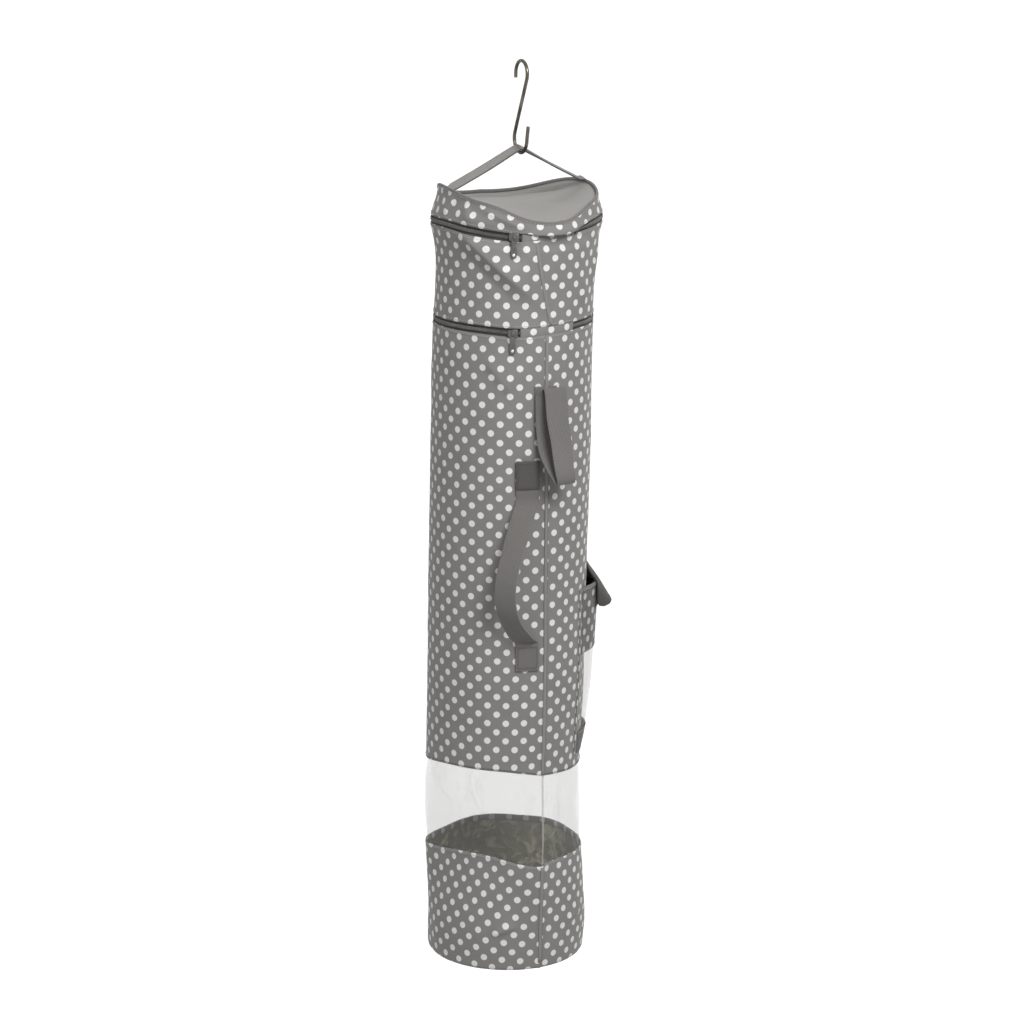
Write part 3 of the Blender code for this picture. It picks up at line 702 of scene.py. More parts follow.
@dataclass(frozen=True)
class Girth:
    """Shape of the soft tube: its radius at every angle and height."""

    mean_radius: Edge = through_points([
        (0.0, 0.1014), (0.030, 0.1022), (0.09, 0.1000), (0.137, 0.0987), (0.19, 0.0983), (0.258, 0.0990),
        (0.36, 0.1004), (0.5, 0.1008), (0.65, 0.1010), (0.75, 0.1003), (0.821, 0.0998), (0.87, 0.0992),
        (0.9385, 0.1000), (0.99, 0.0992),
    ], False)
    ring: Edge = through_points([
        (-167, -0.002), (-146, -0.006), (-117, 0.0046), (-106, 0.0038), (-90, -0.008), (-76, -0.0135),
        (-58, -0.0155), (-40, -0.0150), (-22, -0.004), (-10, 0.005), (-2, 0.0095), (9, 0.0015),
        (31, 0.0), (48, 0.001), (64, 0.001), (91, -0.001), (109, 0.003), (124, 0.006), (143, 0.0015),
        (158, 0.005), (175, 0.004),
    ], True)
    sway: Edge = through_points([
        (0.0, -0.0008), (0.04, -0.0014), (0.10, 0.0), (0.137, 0.0014), (0.2, 0.0052), (0.26, 0.0056),
        (0.36, 0.0034), (0.5, 0.0028), (0.65, 0.0010), (0.8, 0.0), (0.92, -0.0026), (0.96, -0.0032),
        (0.99, -0.0028),
    ], False)
    sway_way: float = 116.5
    hollows: tuple = (
        (28.5, 7.5, lower_zip - 0.001, 0.009, 0.0024), (28.5, 7.5, upper_zip - 0.001, 0.009, 0.0068),
        (-26.5, 6.0, 0.9200, 0.016, 0.0046), (6.0, 14.0, 0.9310, 0.0085, 0.0045),
    )
    ring_height: float = skirt_top
    ring_fade_up: float = 0.115
    ring_fade_down: float = 0.105
    flare: float = 0.0068
    folds: tuple = (
        Fold((-68, 0.950), (-11, 0.860), 0.0110, 0.050, 0.019),
        Fold((31, 0.885), (33, 0.845), 0.0024, 0.014, 0.006),
        Fold((60, 0.925), (46, 0.868), 0.0030, 0.024, 0.012),
        Fold((-46, 0.787), (-25, 0.742), 0.0034, 0.034, 0.010),
        Fold((-36, 0.043), (-18, 0.055), 0.0046, 0.014, 0.006),
        Fold((24, 0.046), (44, 0.060), 0.0036, 0.012, 0.006),
        Fold((-58, 0.955), (-64, 0.975), 0.0036, 0.012, 0.008),
        Fold((-84, 0.958), (-76, 0.985), 0.0040, 0.008, 0.005),
        Fold((-50, 0.972), (-18, 0.948), 0.0030, 0.012, 0.008),
        Fold((150, 0.935), (110, 0.860), 0.0045, 0.040, 0.016),
        Fold((-150, 0.800), (-120, 0.720), 0.0030, 0.040, 0.018),
        Fold((160, 0.060), (120, 0.045), 0.0030, 0.020, 0.008),
    )

    def radius(self, degrees: float, height: float) -> float:
        """Radius of the cloth's outer face.

        Args:
            degrees: angle from the front.
            height: height over the floor.

        Returns:
            The radius in metres.
        """
        side = abs(turn_of(degrees))
        away = height - self.ring_height
        reach = self.ring_fade_up if away > 0 else self.ring_fade_down
        corner = self.ring(degrees) * smooth(1 - abs(away) / reach) * 0.9
        gap = height - upper_zip_line(degrees)
        reach_of_flare = 0.026 if gap < 0 else 0.024
        wide = smooth((side - 28) / 40) * (1 - 0.55 * smooth((side - 110) / 50))
        flare = self.flare * wide * hump(gap, reach_of_flare)
        narrow = 0.0022 * wide * smooth(gap / 0.045)
        overhang = 0.0084 * hump(turn_of(degrees) - 6, 19) * smooth((gap + 0.0018) / 0.0012)
        overhang *= hump(gap - 0.003, 0.0105)
        seams = (gap, height - lower_zip_line(degrees), height - window_top_line(degrees))
        calm = smooth((min(abs(seam) for seam in seams) - 0.002) / 0.014)
        angle = math.radians(degrees)
        room = Vector((math.sin(angle) * 2.2, math.cos(angle) * 2.2, height * 11))
        ripple = noise.noise(room) * 0.0011 + noise.noise(room * 3.1) * 0.0004
        rise = sum(fold.rise(degrees, height) for fold in self.folds)
        aside = self.sway(height) * math.cos(angle + math.radians(self.sway_way))
        for middle, reach, level, spread, depth in self.hollows:
            aside -= depth * hump(turn_of(degrees) - middle, reach) * hump(height - level, spread, 4)
        even = self.mean_radius(height) + corner + flare - narrow + overhang + aside
        return even + (ripple + rise) * (0.15 + 0.85 * calm)


girth = Girth()


def on_cloth(degrees: float, height: float, lift: float = 0.0) -> Vector:
    """Point on the soft tube's outer face, or off it by a lift."""
    return on_ring(girth.radius(degrees, height) + lift, math.radians(degrees), height)


def cloth_grid(
    place: Place, flat: Flat, across: int, along: int, joined: bool = False
) -> bmesh.types.BMesh:
    """Lay a grid out in space; faces point to the left of the turn from first share to second.

    Args:
        place: gives a point for two shares from 0 to 1.
        flat: gives the flat coordinates in metres for the same shares.
        across: faces along the first share.
        along: faces along the second share.
        joined: whether points that meet are joined, where the grid closes on itself.

    Returns:
        The grid, with a UV map named flat.
    """
    grid = bmesh.new()
    layer = grid.loops.layers.uv.new("flat")
    bmesh.ops.create_grid(grid, x_segments=across, y_segments=along, size=1)
    shares = {vert: ((vert.co.x + 1) / 2, (vert.co.y + 1) / 2) for vert in grid.verts}
    for face in grid.faces:
        for loop in face.loops:
            loop[layer].uv = flat(*shares[loop.vert])
    for vert, (u, v) in shares.items():
        vert.co = place(u, v)
    if joined:
        bmesh.ops.remove_doubles(grid, verts=grid.verts, dist=0.00001)
    return grid


def put_in_scene(name: str, data: bpy.types.ID) -> bpy.types.Object:
    """Make an object of a mesh, a lamp or a camera and link it to the scene."""
    made = bpy.data.objects.new(name, data)
    bpy.context.scene.collection.objects.link(made)
    return made


def piece_from(
    shape: bmesh.types.BMesh, name: str, finishes: Sequence[Finish], slot: Slot, nodes: Sequence[str] = (),
    body: Optional[Body] = None,
) -> bpy.types.Object:
    """Turn a finished shape into a piece of the organizer.

    Args:
        shape: the shape, which is used up.
        name: the piece's name.
        finishes: its materials, outside first.
        slot: the record's slot; not used.
        nodes: the CAD nodes it stands for.
        body: the CAD body it rides on, or none to leave it unattached.

    Returns:
        The piece.
    """
    mesh = bpy.data.meshes.new(name)
    shape.to_mesh(mesh)
    shape.free()
    mesh.shade_smooth()
    for finish in finishes:
        mesh.materials.append(finish.material())
    piece = put_in_scene(name, mesh)
    if nodes:
        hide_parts(*nodes)
    if body:
        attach(piece, body.value)
    log.info("made %s", name)
    return piece


def thicken(piece: bpy.types.Object, thickness: float, offset: float = -1.0, lined: bool = False) -> None:
    """Give a sheet its thickness; a lined one shows its second material inside."""
    solid = piece.modifiers.new("thickness", "SOLIDIFY")
    solid.thickness = thickness
    solid.offset = offset
    if lined:
        solid.material_offset = 1


def soften(piece: bpy.types.Object, width: float, segments: int = 2) -> None:
    """Round a piece's sharp edges."""
    bevel = piece.modifiers.new("soft_edges", "BEVEL")
    bevel.width = width
    bevel.segments = segments
    bevel.limit_method = "ANGLE"


def add_block(shape: bmesh.types.BMesh, low: tuple, high: tuple) -> None:
    """Add a box between two corners to a shape."""
    size = Vector(high) - Vector(low)
    middle = (Vector(high) + Vector(low)) / 2
    place = Matrix.Translation(middle) @ Matrix.Diagonal((*size, 1))
    bmesh.ops.create_cube(shape, size=1, matrix=place)


def pour(part: bmesh.types.BMesh, shape: bmesh.types.BMesh) -> None:
    """Add one shape to another, which uses it up."""
    mesh = bpy.data.meshes.new("part")
    part.to_mesh(mesh)
    part.free()
    shape.from_mesh(mesh)
    bpy.data.meshes.remove(mesh)


def add_swells(shape: bmesh.types.BMesh, places: Sequence[Matrix], around: int, along: int) -> None:
    """Add many small rounded swells to a shape, a few dozen at a time, which is quicker.

    Args:
        shape: the shape that takes them.
        places: each one's place, turn and half sizes.
        around: its faces round.
        along: its faces from end to end.
    """
    for start in range(0, len(places), 40):
        handful = bmesh.new()
        for place in places[start:start + 40]:
            bmesh.ops.create_uvsphere(handful, u_segments=around, v_segments=along, radius=1, matrix=place)
        bmesh.ops.recalc_face_normals(handful, faces=handful.faces)
        pour(handful, shape)


@dataclass(frozen=True)
class StitchRow:
    """A row of lockstitches lying on a surface, each one a short swell of thread."""

    stitch: float = 2.7 * millimetre
    pitch: float = 3.4 * millimetre
    thickness: float = 0.65 * millimetre
    lift: float = 0.08 * millimetre

    def sew(self, shape: bmesh.types.BMesh, path: Path, samples: int = 60) -> None:
        """Add a row of stitches to a shape.

        Args:
            shape: the shape that takes them.
            path: gives a point and the outward direction for a share from 0 to 1.
            samples: how many steps measure the path's length.
        """
        points = [path(step / samples)[0] for step in range(samples + 1)]
        length = sum((b - a).length for a, b in zip(points, points[1:]))
        count = max(2, round(length / self.pitch))
        half_turn = 0.2 / count
        places = []
        for number in range(count):
            share = (number + 0.5) / count
            point, outward = path(share)
            along = (path(share + half_turn)[0] - path(share - half_turn)[0]).normalized()
            side = outward.cross(along).normalized()
            up = along.cross(side)
            thick, long = self.thickness / 2, self.stitch / 2
            lying = Matrix((side * thick, up * thick, along * long)).transposed().to_4x4()
            lying.translation = point + up * self.lift
            places.append(lying)
        add_swells(shape, places, 6, 4)


def ring_path(edge: Edge, lift: float, first: float = 0.0, last: float = 360.0) -> Path:
    """Path round the soft tube at an edge's height.

    Args:
        edge: the height at each angle.
        lift: how far the path stands off the cloth.
        first: the angle where it starts.
        last: the angle where it ends.

    Returns:
        A function that gives a point and the outward direction for a share from 0 to 1.
    """

    def path(share: float) -> tuple:
        """Point and outward direction at one share."""
        degrees = between(first, last, share)
        return on_cloth(degrees, edge(degrees), lift), on_ring(1, math.radians(degrees), 0)

    return path


def sew_rows(
    name: str, paths: Sequence[Path], body: Body, slot: Slot, finish: Finish
) -> bpy.types.Object:
    """Stitch rows in one thread as one piece."""
    shape = bmesh.new()
    for path in paths:
        StitchRow().sew(shape, path)
    return piece_from(shape, name, [finish], slot, body=body)


@dataclass(frozen=True)
class Wall:
    """A dotted cloth wall round the bag, lapped along its seam, with a coated back."""

    name: str
    body: Body
    nodes: tuple
    low: Edge
    high: Edge
    seam: Edge
    finish: DottedCanvas
    rows: int
    columns: int = 200
    lap_under: float = 1.5
    hem: float = 0.0005
    hem_reach: float = 0.004

    def spot(self, u: float, v: float) -> tuple:
        """Angle in degrees and height at two shares; the first runs from the seam right round to it."""
        middling = between(self.low(0), self.high(0), v)
        degrees = self.seam(middling) - self.lap_under * (1 - u) + 360 * u
        return degrees, between(self.low(degrees), self.high(degrees), v)

    def lap_at(self, u: float) -> float:
        """How far the wall's end stands up where it laps over its start."""
        return lap_rise * smooth(1 - (1 - u) * math.tau * tube_radius / lap_width)

    def place(self, u: float, v: float) -> Vector:
        """Point of the outer face at two shares."""
        degrees, height = self.spot(u, v)
        ends = (height - self.low(degrees), self.high(degrees) - height)
        hem = self.hem * sum(hump(gap, self.hem_reach) for gap in ends)
        return on_cloth(degrees, height, self.lap_at(u) + hem)

    def flat(self, u: float, v: float) -> tuple:
        """Flat coordinates in metres at two shares."""
        degrees, height = self.spot(u, v)
        return math.radians(degrees) * tube_radius, height

    def build(self) -> bpy.types.Object:
        """Make the wall with its thickness and lining."""
        shape = cloth_grid(self.place, self.flat, self.columns, self.rows)
        wall = piece_from(shape, self.name, [self.finish, backing], Slot.DOTTED, self.nodes, self.body)
        thicken(wall, cloth, lined=True)
        return wall


@dataclass(frozen=True)
class Foot(Wall):
    """Base skirt, rounded in at the foot, with its turned hem, bottom panel and stiff board."""

    name: str = "base_skirt_cloth"
    body: Body = Body.TUBE
    nodes: tuple = ("base_skirt",)
    low: Edge = lambda degrees: 0.0
    high: Edge = skirt_top_line
    seam: Edge = tube_seam
    finish: DottedCanvas = skirt_canvas
    rows: int = 54
    foot_radius: float = 0.006
    foot_drop: float = 0.0058
    foot_share: float = 0.10
    hem_depth: float = 0.0075

    def spot(self, u: float, v: float) -> tuple:
        """Angle and height; the lowest share of the rows turns in under the foot."""
        degrees, height = super().spot(u, max(0.0, (v - self.foot_share) / (1 - self.foot_share)))
        rest = self.foot_radius - self.foot_drop
        return degrees, rest + height * (self.high(degrees) - rest) / self.high(degrees)

    def place(self, u: float, v: float) -> Vector:
        """Point of the outer face, round the foot's corner where the share is low."""
        degrees, height = self.spot(u, v)
        radius = girth.radius(degrees, height) + self.lap_at(u)
        if v < self.foot_share:
            bend = math.pi / 2 * (1 - v / self.foot_share)
            radius -= self.foot_radius * (1 - math.cos(bend))
            height = self.foot_radius * (1 - math.sin(bend)) - self.foot_drop
        return on_ring(radius, math.radians(degrees), height)

    def flat(self, u: float, v: float) -> tuple:
        """Flat coordinates, running on under the foot."""
        degrees, height = self.spot(u, v)
        under = max(0.0, 1 - v / self.foot_share) * math.pi / 2 * self.foot_radius
        return math.radians(degrees) * tube_radius, height - under

    def build_hem(self) -> None:
        """Dotted cloth turned down inside the skirt's top edge, which the window shows, in the darker print
        of painted shade.
        """

        def place(u: float, v: float) -> Vector:
            """Point of the hem's outer face."""
            degrees = 360 * u
            height = self.high(degrees) - 0.0002 - self.hem_depth * (1 - v)
            return on_cloth(degrees, height, -tape_depth)

        shape = cloth_grid(place, lambda u, v: (0.628 * u, 0.008 * v), 160, 3, joined=True)
        hem = piece_from(shape, "skirt_hem", [shaded_pocket_canvas], Slot.DOTTED, body=self.body)
        thicken(hem, binding_sheet)

    def build_bottom(self) -> None:
        """Bottom panel, sewn in at the foot, and the board that rests on it."""

        def place(u: float, v: float) -> Vector:
            """Point of the panel's underside, its edge drawn up a little."""
            degrees = 360 * u
            edge = girth.radius(-degrees, self.foot_radius) - self.foot_radius + 0.0004
            return on_ring(edge * (1 - v), -math.radians(degrees), 0.0004 - self.foot_drop * (1 - v * v))

        def flat(u: float, v: float) -> tuple:
            """Flat coordinates straight across the panel."""
            return place(u, v).x, place(u, v).y

        shape = cloth_grid(place, flat, 120, 14, joined=True)
        panel = piece_from(
            shape, "base_panel_cloth", [panel_cloth], Slot.PLAIN, ("base_panel",), self.body,
        )
        thicken(panel, 0.0010)
        dress_node("base_board", greyboard)

    def build_seam_tape(self) -> None:
        """Tape over the seam allowance inside the skirt."""
        seam_tape("skirt_seam_tape", self.body, ("skirt_seam_binding",), self.seam, 0.04, 0.128)

    def build(self) -> bpy.types.Object:
        """Make the whole foot of the bag."""
        skirt = super().build()
        self.build_hem()
        self.build_bottom()
        self.build_seam_tape()
        seam_lap("skirt_seam_lap", self.body, self.seam, 0.004, 0.1338, 0.1338)
        top_row = ring_path(lambda degrees: self.high(degrees) - 0.0022, 0.0005, 1.0, 359.0)
        sew_rows("skirt_top_stitches", [top_row], self.body, Slot.DOTTED, thread)
        return skirt


def dress_node(name: str, finish: Finish) -> None:
    """Give a CAD node that stays a better material."""
    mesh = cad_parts[name].data
    if not mesh.materials:
        mesh.materials.append(finish.material())
    for slot_number in range(len(mesh.materials)):
        mesh.materials[slot_number] = finish.material()


def seam_tape(name: str, body: Body, nodes: tuple, seam: Edge, low: float, high: float) -> None:
    """Binding over the seam allowance, inside a wall.

    Args:
        name: the piece's name.
        body: the body it rides on.
        nodes: the CAD nodes it stands for.
        seam: the seam's angle at each height.
        low: its lower end.
        high: its upper end.
    """
    width = 0.008

    def place(u: float, v: float) -> Vector:
        """Point of the tape's outer face, under the wall's inner one."""
        height = between(low, high, v)
        aside = (u - 0.5) * width
        degrees = seam(height) + math.degrees(aside / tube_radius)
        return on_cloth(degrees, height, -tape_depth)

    rows = max(8, round((high - low) / width))
    shape = cloth_grid(place, lambda u, v: (u * width, v * (high - low)), 4, rows)
    thicken(piece_from(shape, name, [binding_tape], Slot.TRIM, nodes, body), binding_sheet)


def seam_lap(
    name: str, body: Body, seam: Edge, low: float, high: float, gap_top: float = 0.0, stand: float = 0.0006
) -> None:
    """Folded cloth edge that stands up along a seam, cutting its own dots, and a dark strip beside it that
    is painted shadow.

    Args:
        name: the piece's name.
        body: the body it rides on.
        seam: the seam's angle at each height.
        low: its lower end.
        high: its upper end.
        gap_top: the height where the dark strip of painted shadow ends, or 0 for none.
        stand: how far the folded edge stands off the wall.
    """
    width = 0.0042

    def strip(first: float, last: float, lift: float, top: float) -> bmesh.types.BMesh:
        """Strip between two distances from the seam, standing off the wall."""

        def place(u: float, v: float) -> Vector:
            """Point of the strip's outer face."""
            height = between(low, top, v)
            aside = between(first, last, u)
            degrees = seam(height) + math.degrees(aside / tube_radius)
            rise = lap_rise * smooth(1 + aside / lap_width) if aside <= 0 else 0.0
            swell = 0.0007 * math.sin(math.pi * u) ** 0.5 if first < 0 else 0.0
            return on_cloth(degrees, height, rise + lift + swell)

        def flat(u: float, v: float) -> tuple:
            """Flat coordinates in metres."""
            return between(first, last, u), between(low, top, v)

        return cloth_grid(place, flat, 6, max(20, round((top - low) / 0.006)))

    lap = piece_from(strip(-width, 0.0, stand, high), name, [seam_canvas], Slot.DOTTED, body=body)
    thicken(lap, 0.0010)
    if gap_top:
        # Dark strip beside the folded edge: painted shadow in the seam's gap
        line = strip(0.0001, 0.0014, 0.0004, gap_top)
        gap = piece_from(line, f"{name}_gap", [seam_shadow_cloth], Slot.TRIM, body=body)
        thicken(gap, 0.0004)


@dataclass(frozen=True)
class ClearWindow:
    """Clear plastic band between skirt and tube, with its welded lap seam."""

    lap: float = 0.008
    sheet: float = 0.0006
    seam_width: float = 0.0024
    creases: tuple = (
        ((-5.8, 0.1685), (8.2, 0.1905)), ((6.5, 0.164), (17.9, 0.184)), ((14.0, 0.158), (22.0, 0.168)),
        ((-70.0, 0.214), (-82.0, 0.226)),
    )

    def pucker(self, degrees: float, height: float) -> float:
        """Soft dents of the plastic, calm where it is sewn in."""
        angle = math.radians(degrees)
        room = Vector((math.sin(angle) * 3.2, math.cos(angle) * 3.2, height * 22))
        middle = smooth((height - skirt_top) / 0.04) * smooth((window_top - height) / 0.04)
        return (noise.noise(room) * 0.0014 + 0.0022) * middle

    def place(self, u: float, v: float) -> Vector:
        """Point of the outer face."""
        degrees = 360 * u
        low = skirt_top_line(degrees) - self.lap
        height = between(low, window_top_line(degrees) + self.lap, v)
        return on_cloth(degrees, height, self.pucker(degrees, height) - cloth - lay_gap)

    def build_seam(self) -> None:
        """Narrow lap seam down the front of the window."""

        def place(u: float, v: float) -> Vector:
            """Point of the seam's outer face."""
            height = between(skirt_top_line(0) + 0.0005, window_top_line(0) - 0.0005, v)
            degrees = tube_seam(height) - 0.4 + math.degrees((u - 0.5) * self.seam_width / tube_radius)
            return on_cloth(degrees, height, self.pucker(degrees, height) - 0.0002)

        shape = cloth_grid(place, lambda u, v: (u * self.seam_width, v * 0.12), 2, 30)
        seam = piece_from(
            shape, "window_lap_seam", [seam_and_crease_highlight_vinyl], Slot.VINYL, ("window_seam_strip",), Body.TUBE,
        )
        thicken(seam, 0.0008)

    def build_creases(self) -> None:
        """Sharp creases of the plastic, drawn as strips of paler, less clear film: painted highlight
        streaks.
        """
        for number, (start, end) in enumerate(self.creases):

            def place(u: float, v: float) -> Vector:
                """Point of one crease's crown."""
                degrees = between(start[0], end[0], v) + 0.9 * math.sin(math.pi * v) * (u - 0.5)
                height = between(start[1], end[1], v)
                crown = 0.0004 * math.sin(math.pi * v) * math.sin(math.pi * u)
                lift = crown + 0.0003 - cloth - lay_gap
                return on_cloth(degrees, height, lift + self.pucker(degrees, height))

            shape = cloth_grid(place, lambda u, v: (u * 0.002, v * 0.03), 4, 16)
            piece_from(shape, f"window_crease_{number + 1}", [seam_and_crease_highlight_vinyl], Slot.VINYL, body=Body.TUBE)

    def build(self) -> None:
        """Make the window and its seam."""
        shape = cloth_grid(self.place, lambda u, v: (0.62 * u, 0.13 * v), 150, 34, joined=True)
        band = piece_from(shape, "clear_window", [vinyl], Slot.VINYL, ("window_band",), Body.TUBE)
        thicken(band, self.sheet)
        self.build_seam()
        self.build_creases()


@dataclass(frozen=True)
class Zip:
    """A coil zip round the bag: two tapes, two rows of teeth, and the cloth hinge at the front."""

    prefix: str
    line: Edge
    below: Body
    above: Body
    below_name: str
    above_name: str
    first: float = 20.4
    last: float = 339.6
    tape_width: float = 0.0118
    tape_sheet: float = 0.0007
    tooth_pitch: float = 1.5 * millimetre
    tooth_size: tuple = (0.00062, 0.0008, 0.0013)
    patch_half: float = 21.2
    rows_cross_hinge: bool = True

    def build_tape(self, side: int, body: Body, half: str) -> None:
        """One half's woven tape, tucked behind the cloth's edge."""

        def place(u: float, v: float) -> Vector:
            """Point of the tape's outer face."""
            degrees = between(self.first, self.last, u)
            reach = v if side > 0 else 1 - v
            height = self.line(degrees) + side * (0.0005 + self.tape_width * reach)
            return on_cloth(degrees, height, -cloth - lay_gap - 0.0005 * (1 - reach))

        shape = cloth_grid(place, lambda u, v: (0.55 * u, self.tape_width * v), 180, 4)
        name = f"{self.prefix}_zip_{half}"
        tape = piece_from(
            shape, f"{name}_woven_tape", [zip_tape], Slot.ZIP_CLOTH, (f"{name}_tape",), body,
        )
        thicken(tape, self.tape_sheet)

    def build_teeth(self, side: int, body: Body, half: str) -> None:
        """One half's row of small rounded teeth over its cord."""
        shape = bmesh.new()
        span = math.radians(self.last - self.first) * tube_radius
        count = round(span / self.tooth_pitch)
        places = []
        for number in range(count):
            share = (number + (0.25 if side > 0 else 0.75)) / count
            degrees = between(self.first, self.last, share)
            angle = math.radians(degrees)
            ways = (on_ring(1, angle + math.pi / 2, 0), on_ring(1, angle, 0), Vector((0, 0, 1)))
            tooth = Matrix([way * size for way, size in zip(ways, self.tooth_size)]).transposed().to_4x4()
            tooth.translation = on_cloth(degrees, self.line(degrees) + side * 0.0010, -0.0003)
            places.append(tooth)
        add_swells(shape, places, 7, 5)
        name = f"{self.prefix}_zip_{half}"
        piece_from(shape, f"{name}_teeth", [nylon], Slot.ZIP_NYLON, (f"{name}_coil",), body)

    def build_patch(self) -> None:
        """Cloth hinge where the zip stops, sewn under both walls."""

        def place(u: float, v: float) -> Vector:
            """Point of the patch's outer face."""
            degrees = self.patch_half * (2 * u - 1)
            height = self.line(degrees) + 0.0090 * (2 * v - 1)
            bulge = 0.0007 * math.sin(math.pi * v)
            tuck = 0.0016 * (2 * v - 1) ** 4
            wall = height if self.rows_cross_hinge else min(height, self.line(degrees) - 0.0035)
            return on_ring(girth.radius(degrees, wall) + bulge - tuck, math.radians(degrees), height)

        def flat(u: float, v: float) -> tuple:
            """Flat coordinates in metres."""
            return math.radians(self.patch_half * (2 * u - 1)) * tube_radius, 0.018 * v

        shape = cloth_grid(place, flat, 40, 10)
        patch = piece_from(
            shape, f"{self.prefix}_hinge_cloth", [patch_canvas, backing], Slot.DOTTED,
            (f"{self.prefix}_hinge_patch",),
        )
        middle = self.line(0)
        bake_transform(patch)
        thicken(patch, 0.0010, lined=True)

    def stitch_row(self, aside: float, lift: float, first: float, last: float) -> Path:
        """Path beside the zip's line, between two angles."""
        return ring_path(lambda degrees: self.line(degrees) + aside, lift, first, last)

    def build(self) -> None:
        """Make both halves, the hinge and the stitches along both cloth edges."""
        halves = ((-1, self.below, self.below_name), (1, self.above, self.above_name))
        for side, body, half in halves:
            self.build_tape(side, body, half)
            self.build_teeth(side, body, half)
            end = 10 if self.rows_cross_hinge else 24
            rows = [self.stitch_row(side * 0.0079, 0.0006, end, 360 - end)]
            if self.rows_cross_hinge:
                rows.append(self.stitch_row(side * 0.0074, 0.0008, -end, end))
            sew_rows(f"{self.prefix}_zip_{half}_stitches", rows, body, Slot.DOTTED, thread)
        self.build_patch()


@dataclass(frozen=True)
class Slider:
    """Zip slider: a shield-shaped plate with turned-in flanges and an arched bridge for the tab."""

    prefix: str
    body: Body
    height: float
    angle: float = slider_angle
    length: float = 0.0120
    width: float = 0.0100
    plate: float = 0.0014
    face: float = 0.1011
    bridge_reach: float = 0.0032
    bridge_height: float = 0.0076
    bridge_width: float = 0.0018

    def shape_plate(self, shape: bmesh.types.BMesh) -> None:
        """Front plate, narrower where the two rows of teeth leave it, with rounded edges."""
        half, wide = self.length / 2, self.width / 2
        add_block(shape, (-half, -self.plate, -wide), (half, 0, wide))
        bmesh.ops.subdivide_edges(shape, edges=shape.edges, cuts=3, use_grid_fill=True)
        for vert in shape.verts:
            share = (vert.co.x + half) / self.length
            vert.co.z *= 0.74 + 0.26 * smooth(share / 0.55) - 0.10 * smooth((share - 0.7) / 0.3)
            vert.co.y -= 0.0004 * (1 - (vert.co.z / wide) ** 2) if vert.co.y < -self.plate / 2 else 0

    def shape_flanges(self, shape: bmesh.types.BMesh) -> None:
        """Turned-in edges of the plate, which hold the teeth."""
        half, wide = self.length / 2 - 0.0012, self.width / 2
        for side in (-1, 1):
            inner, outer = sorted((side * (wide - 0.0016), side * (wide - 0.0006)))
            add_block(shape, (-half, -0.0004, inner), (half, 0.0013, outer))

    def bridge(self) -> bmesh.types.BMesh:
        """Arch that holds the pull tab's root."""

        def place(u: float, v: float) -> Vector:
            """Point on the arch's outer face."""
            bend = math.pi * v
            rise = self.bridge_reach * math.sin(bend) ** 0.7
            height = -self.bridge_height / 2 * math.cos(bend)
            return Vector(((u - 0.5) * self.bridge_width, -self.plate - rise, height))

        return cloth_grid(place, lambda u, v: (u, v), 2, 14)

    def settle(self, shape: bmesh.types.BMesh) -> None:
        """Move a shape from the slider's own place to its place on the bag."""
        turn = Matrix.Rotation(self.angle, 4, "Z")
        shift = Matrix.Translation(Vector((0, -self.face, self.height)))
        bmesh.ops.transform(shape, matrix=turn @ shift, verts=shape.verts)

    def build(self) -> None:
        """Make the slider and its bridge."""
        body = bmesh.new()
        self.shape_plate(body)
        self.shape_flanges(body)
        self.settle(body)
        slider = piece_from(
            body, f"{self.prefix}_slider_body", [painted_zinc], Slot.ZIP_METAL,
            (f"{self.prefix}_slider",), self.body,
        )
        soften(slider, 0.00035)
        arch = self.bridge()
        self.settle(arch)
        bridge = piece_from(
            arch, f"{self.prefix}_slider_bridge", [painted_zinc], Slot.ZIP_METAL, body=self.body,
        )
        thicken(bridge, 0.0009)
        soften(bridge, 0.00025)


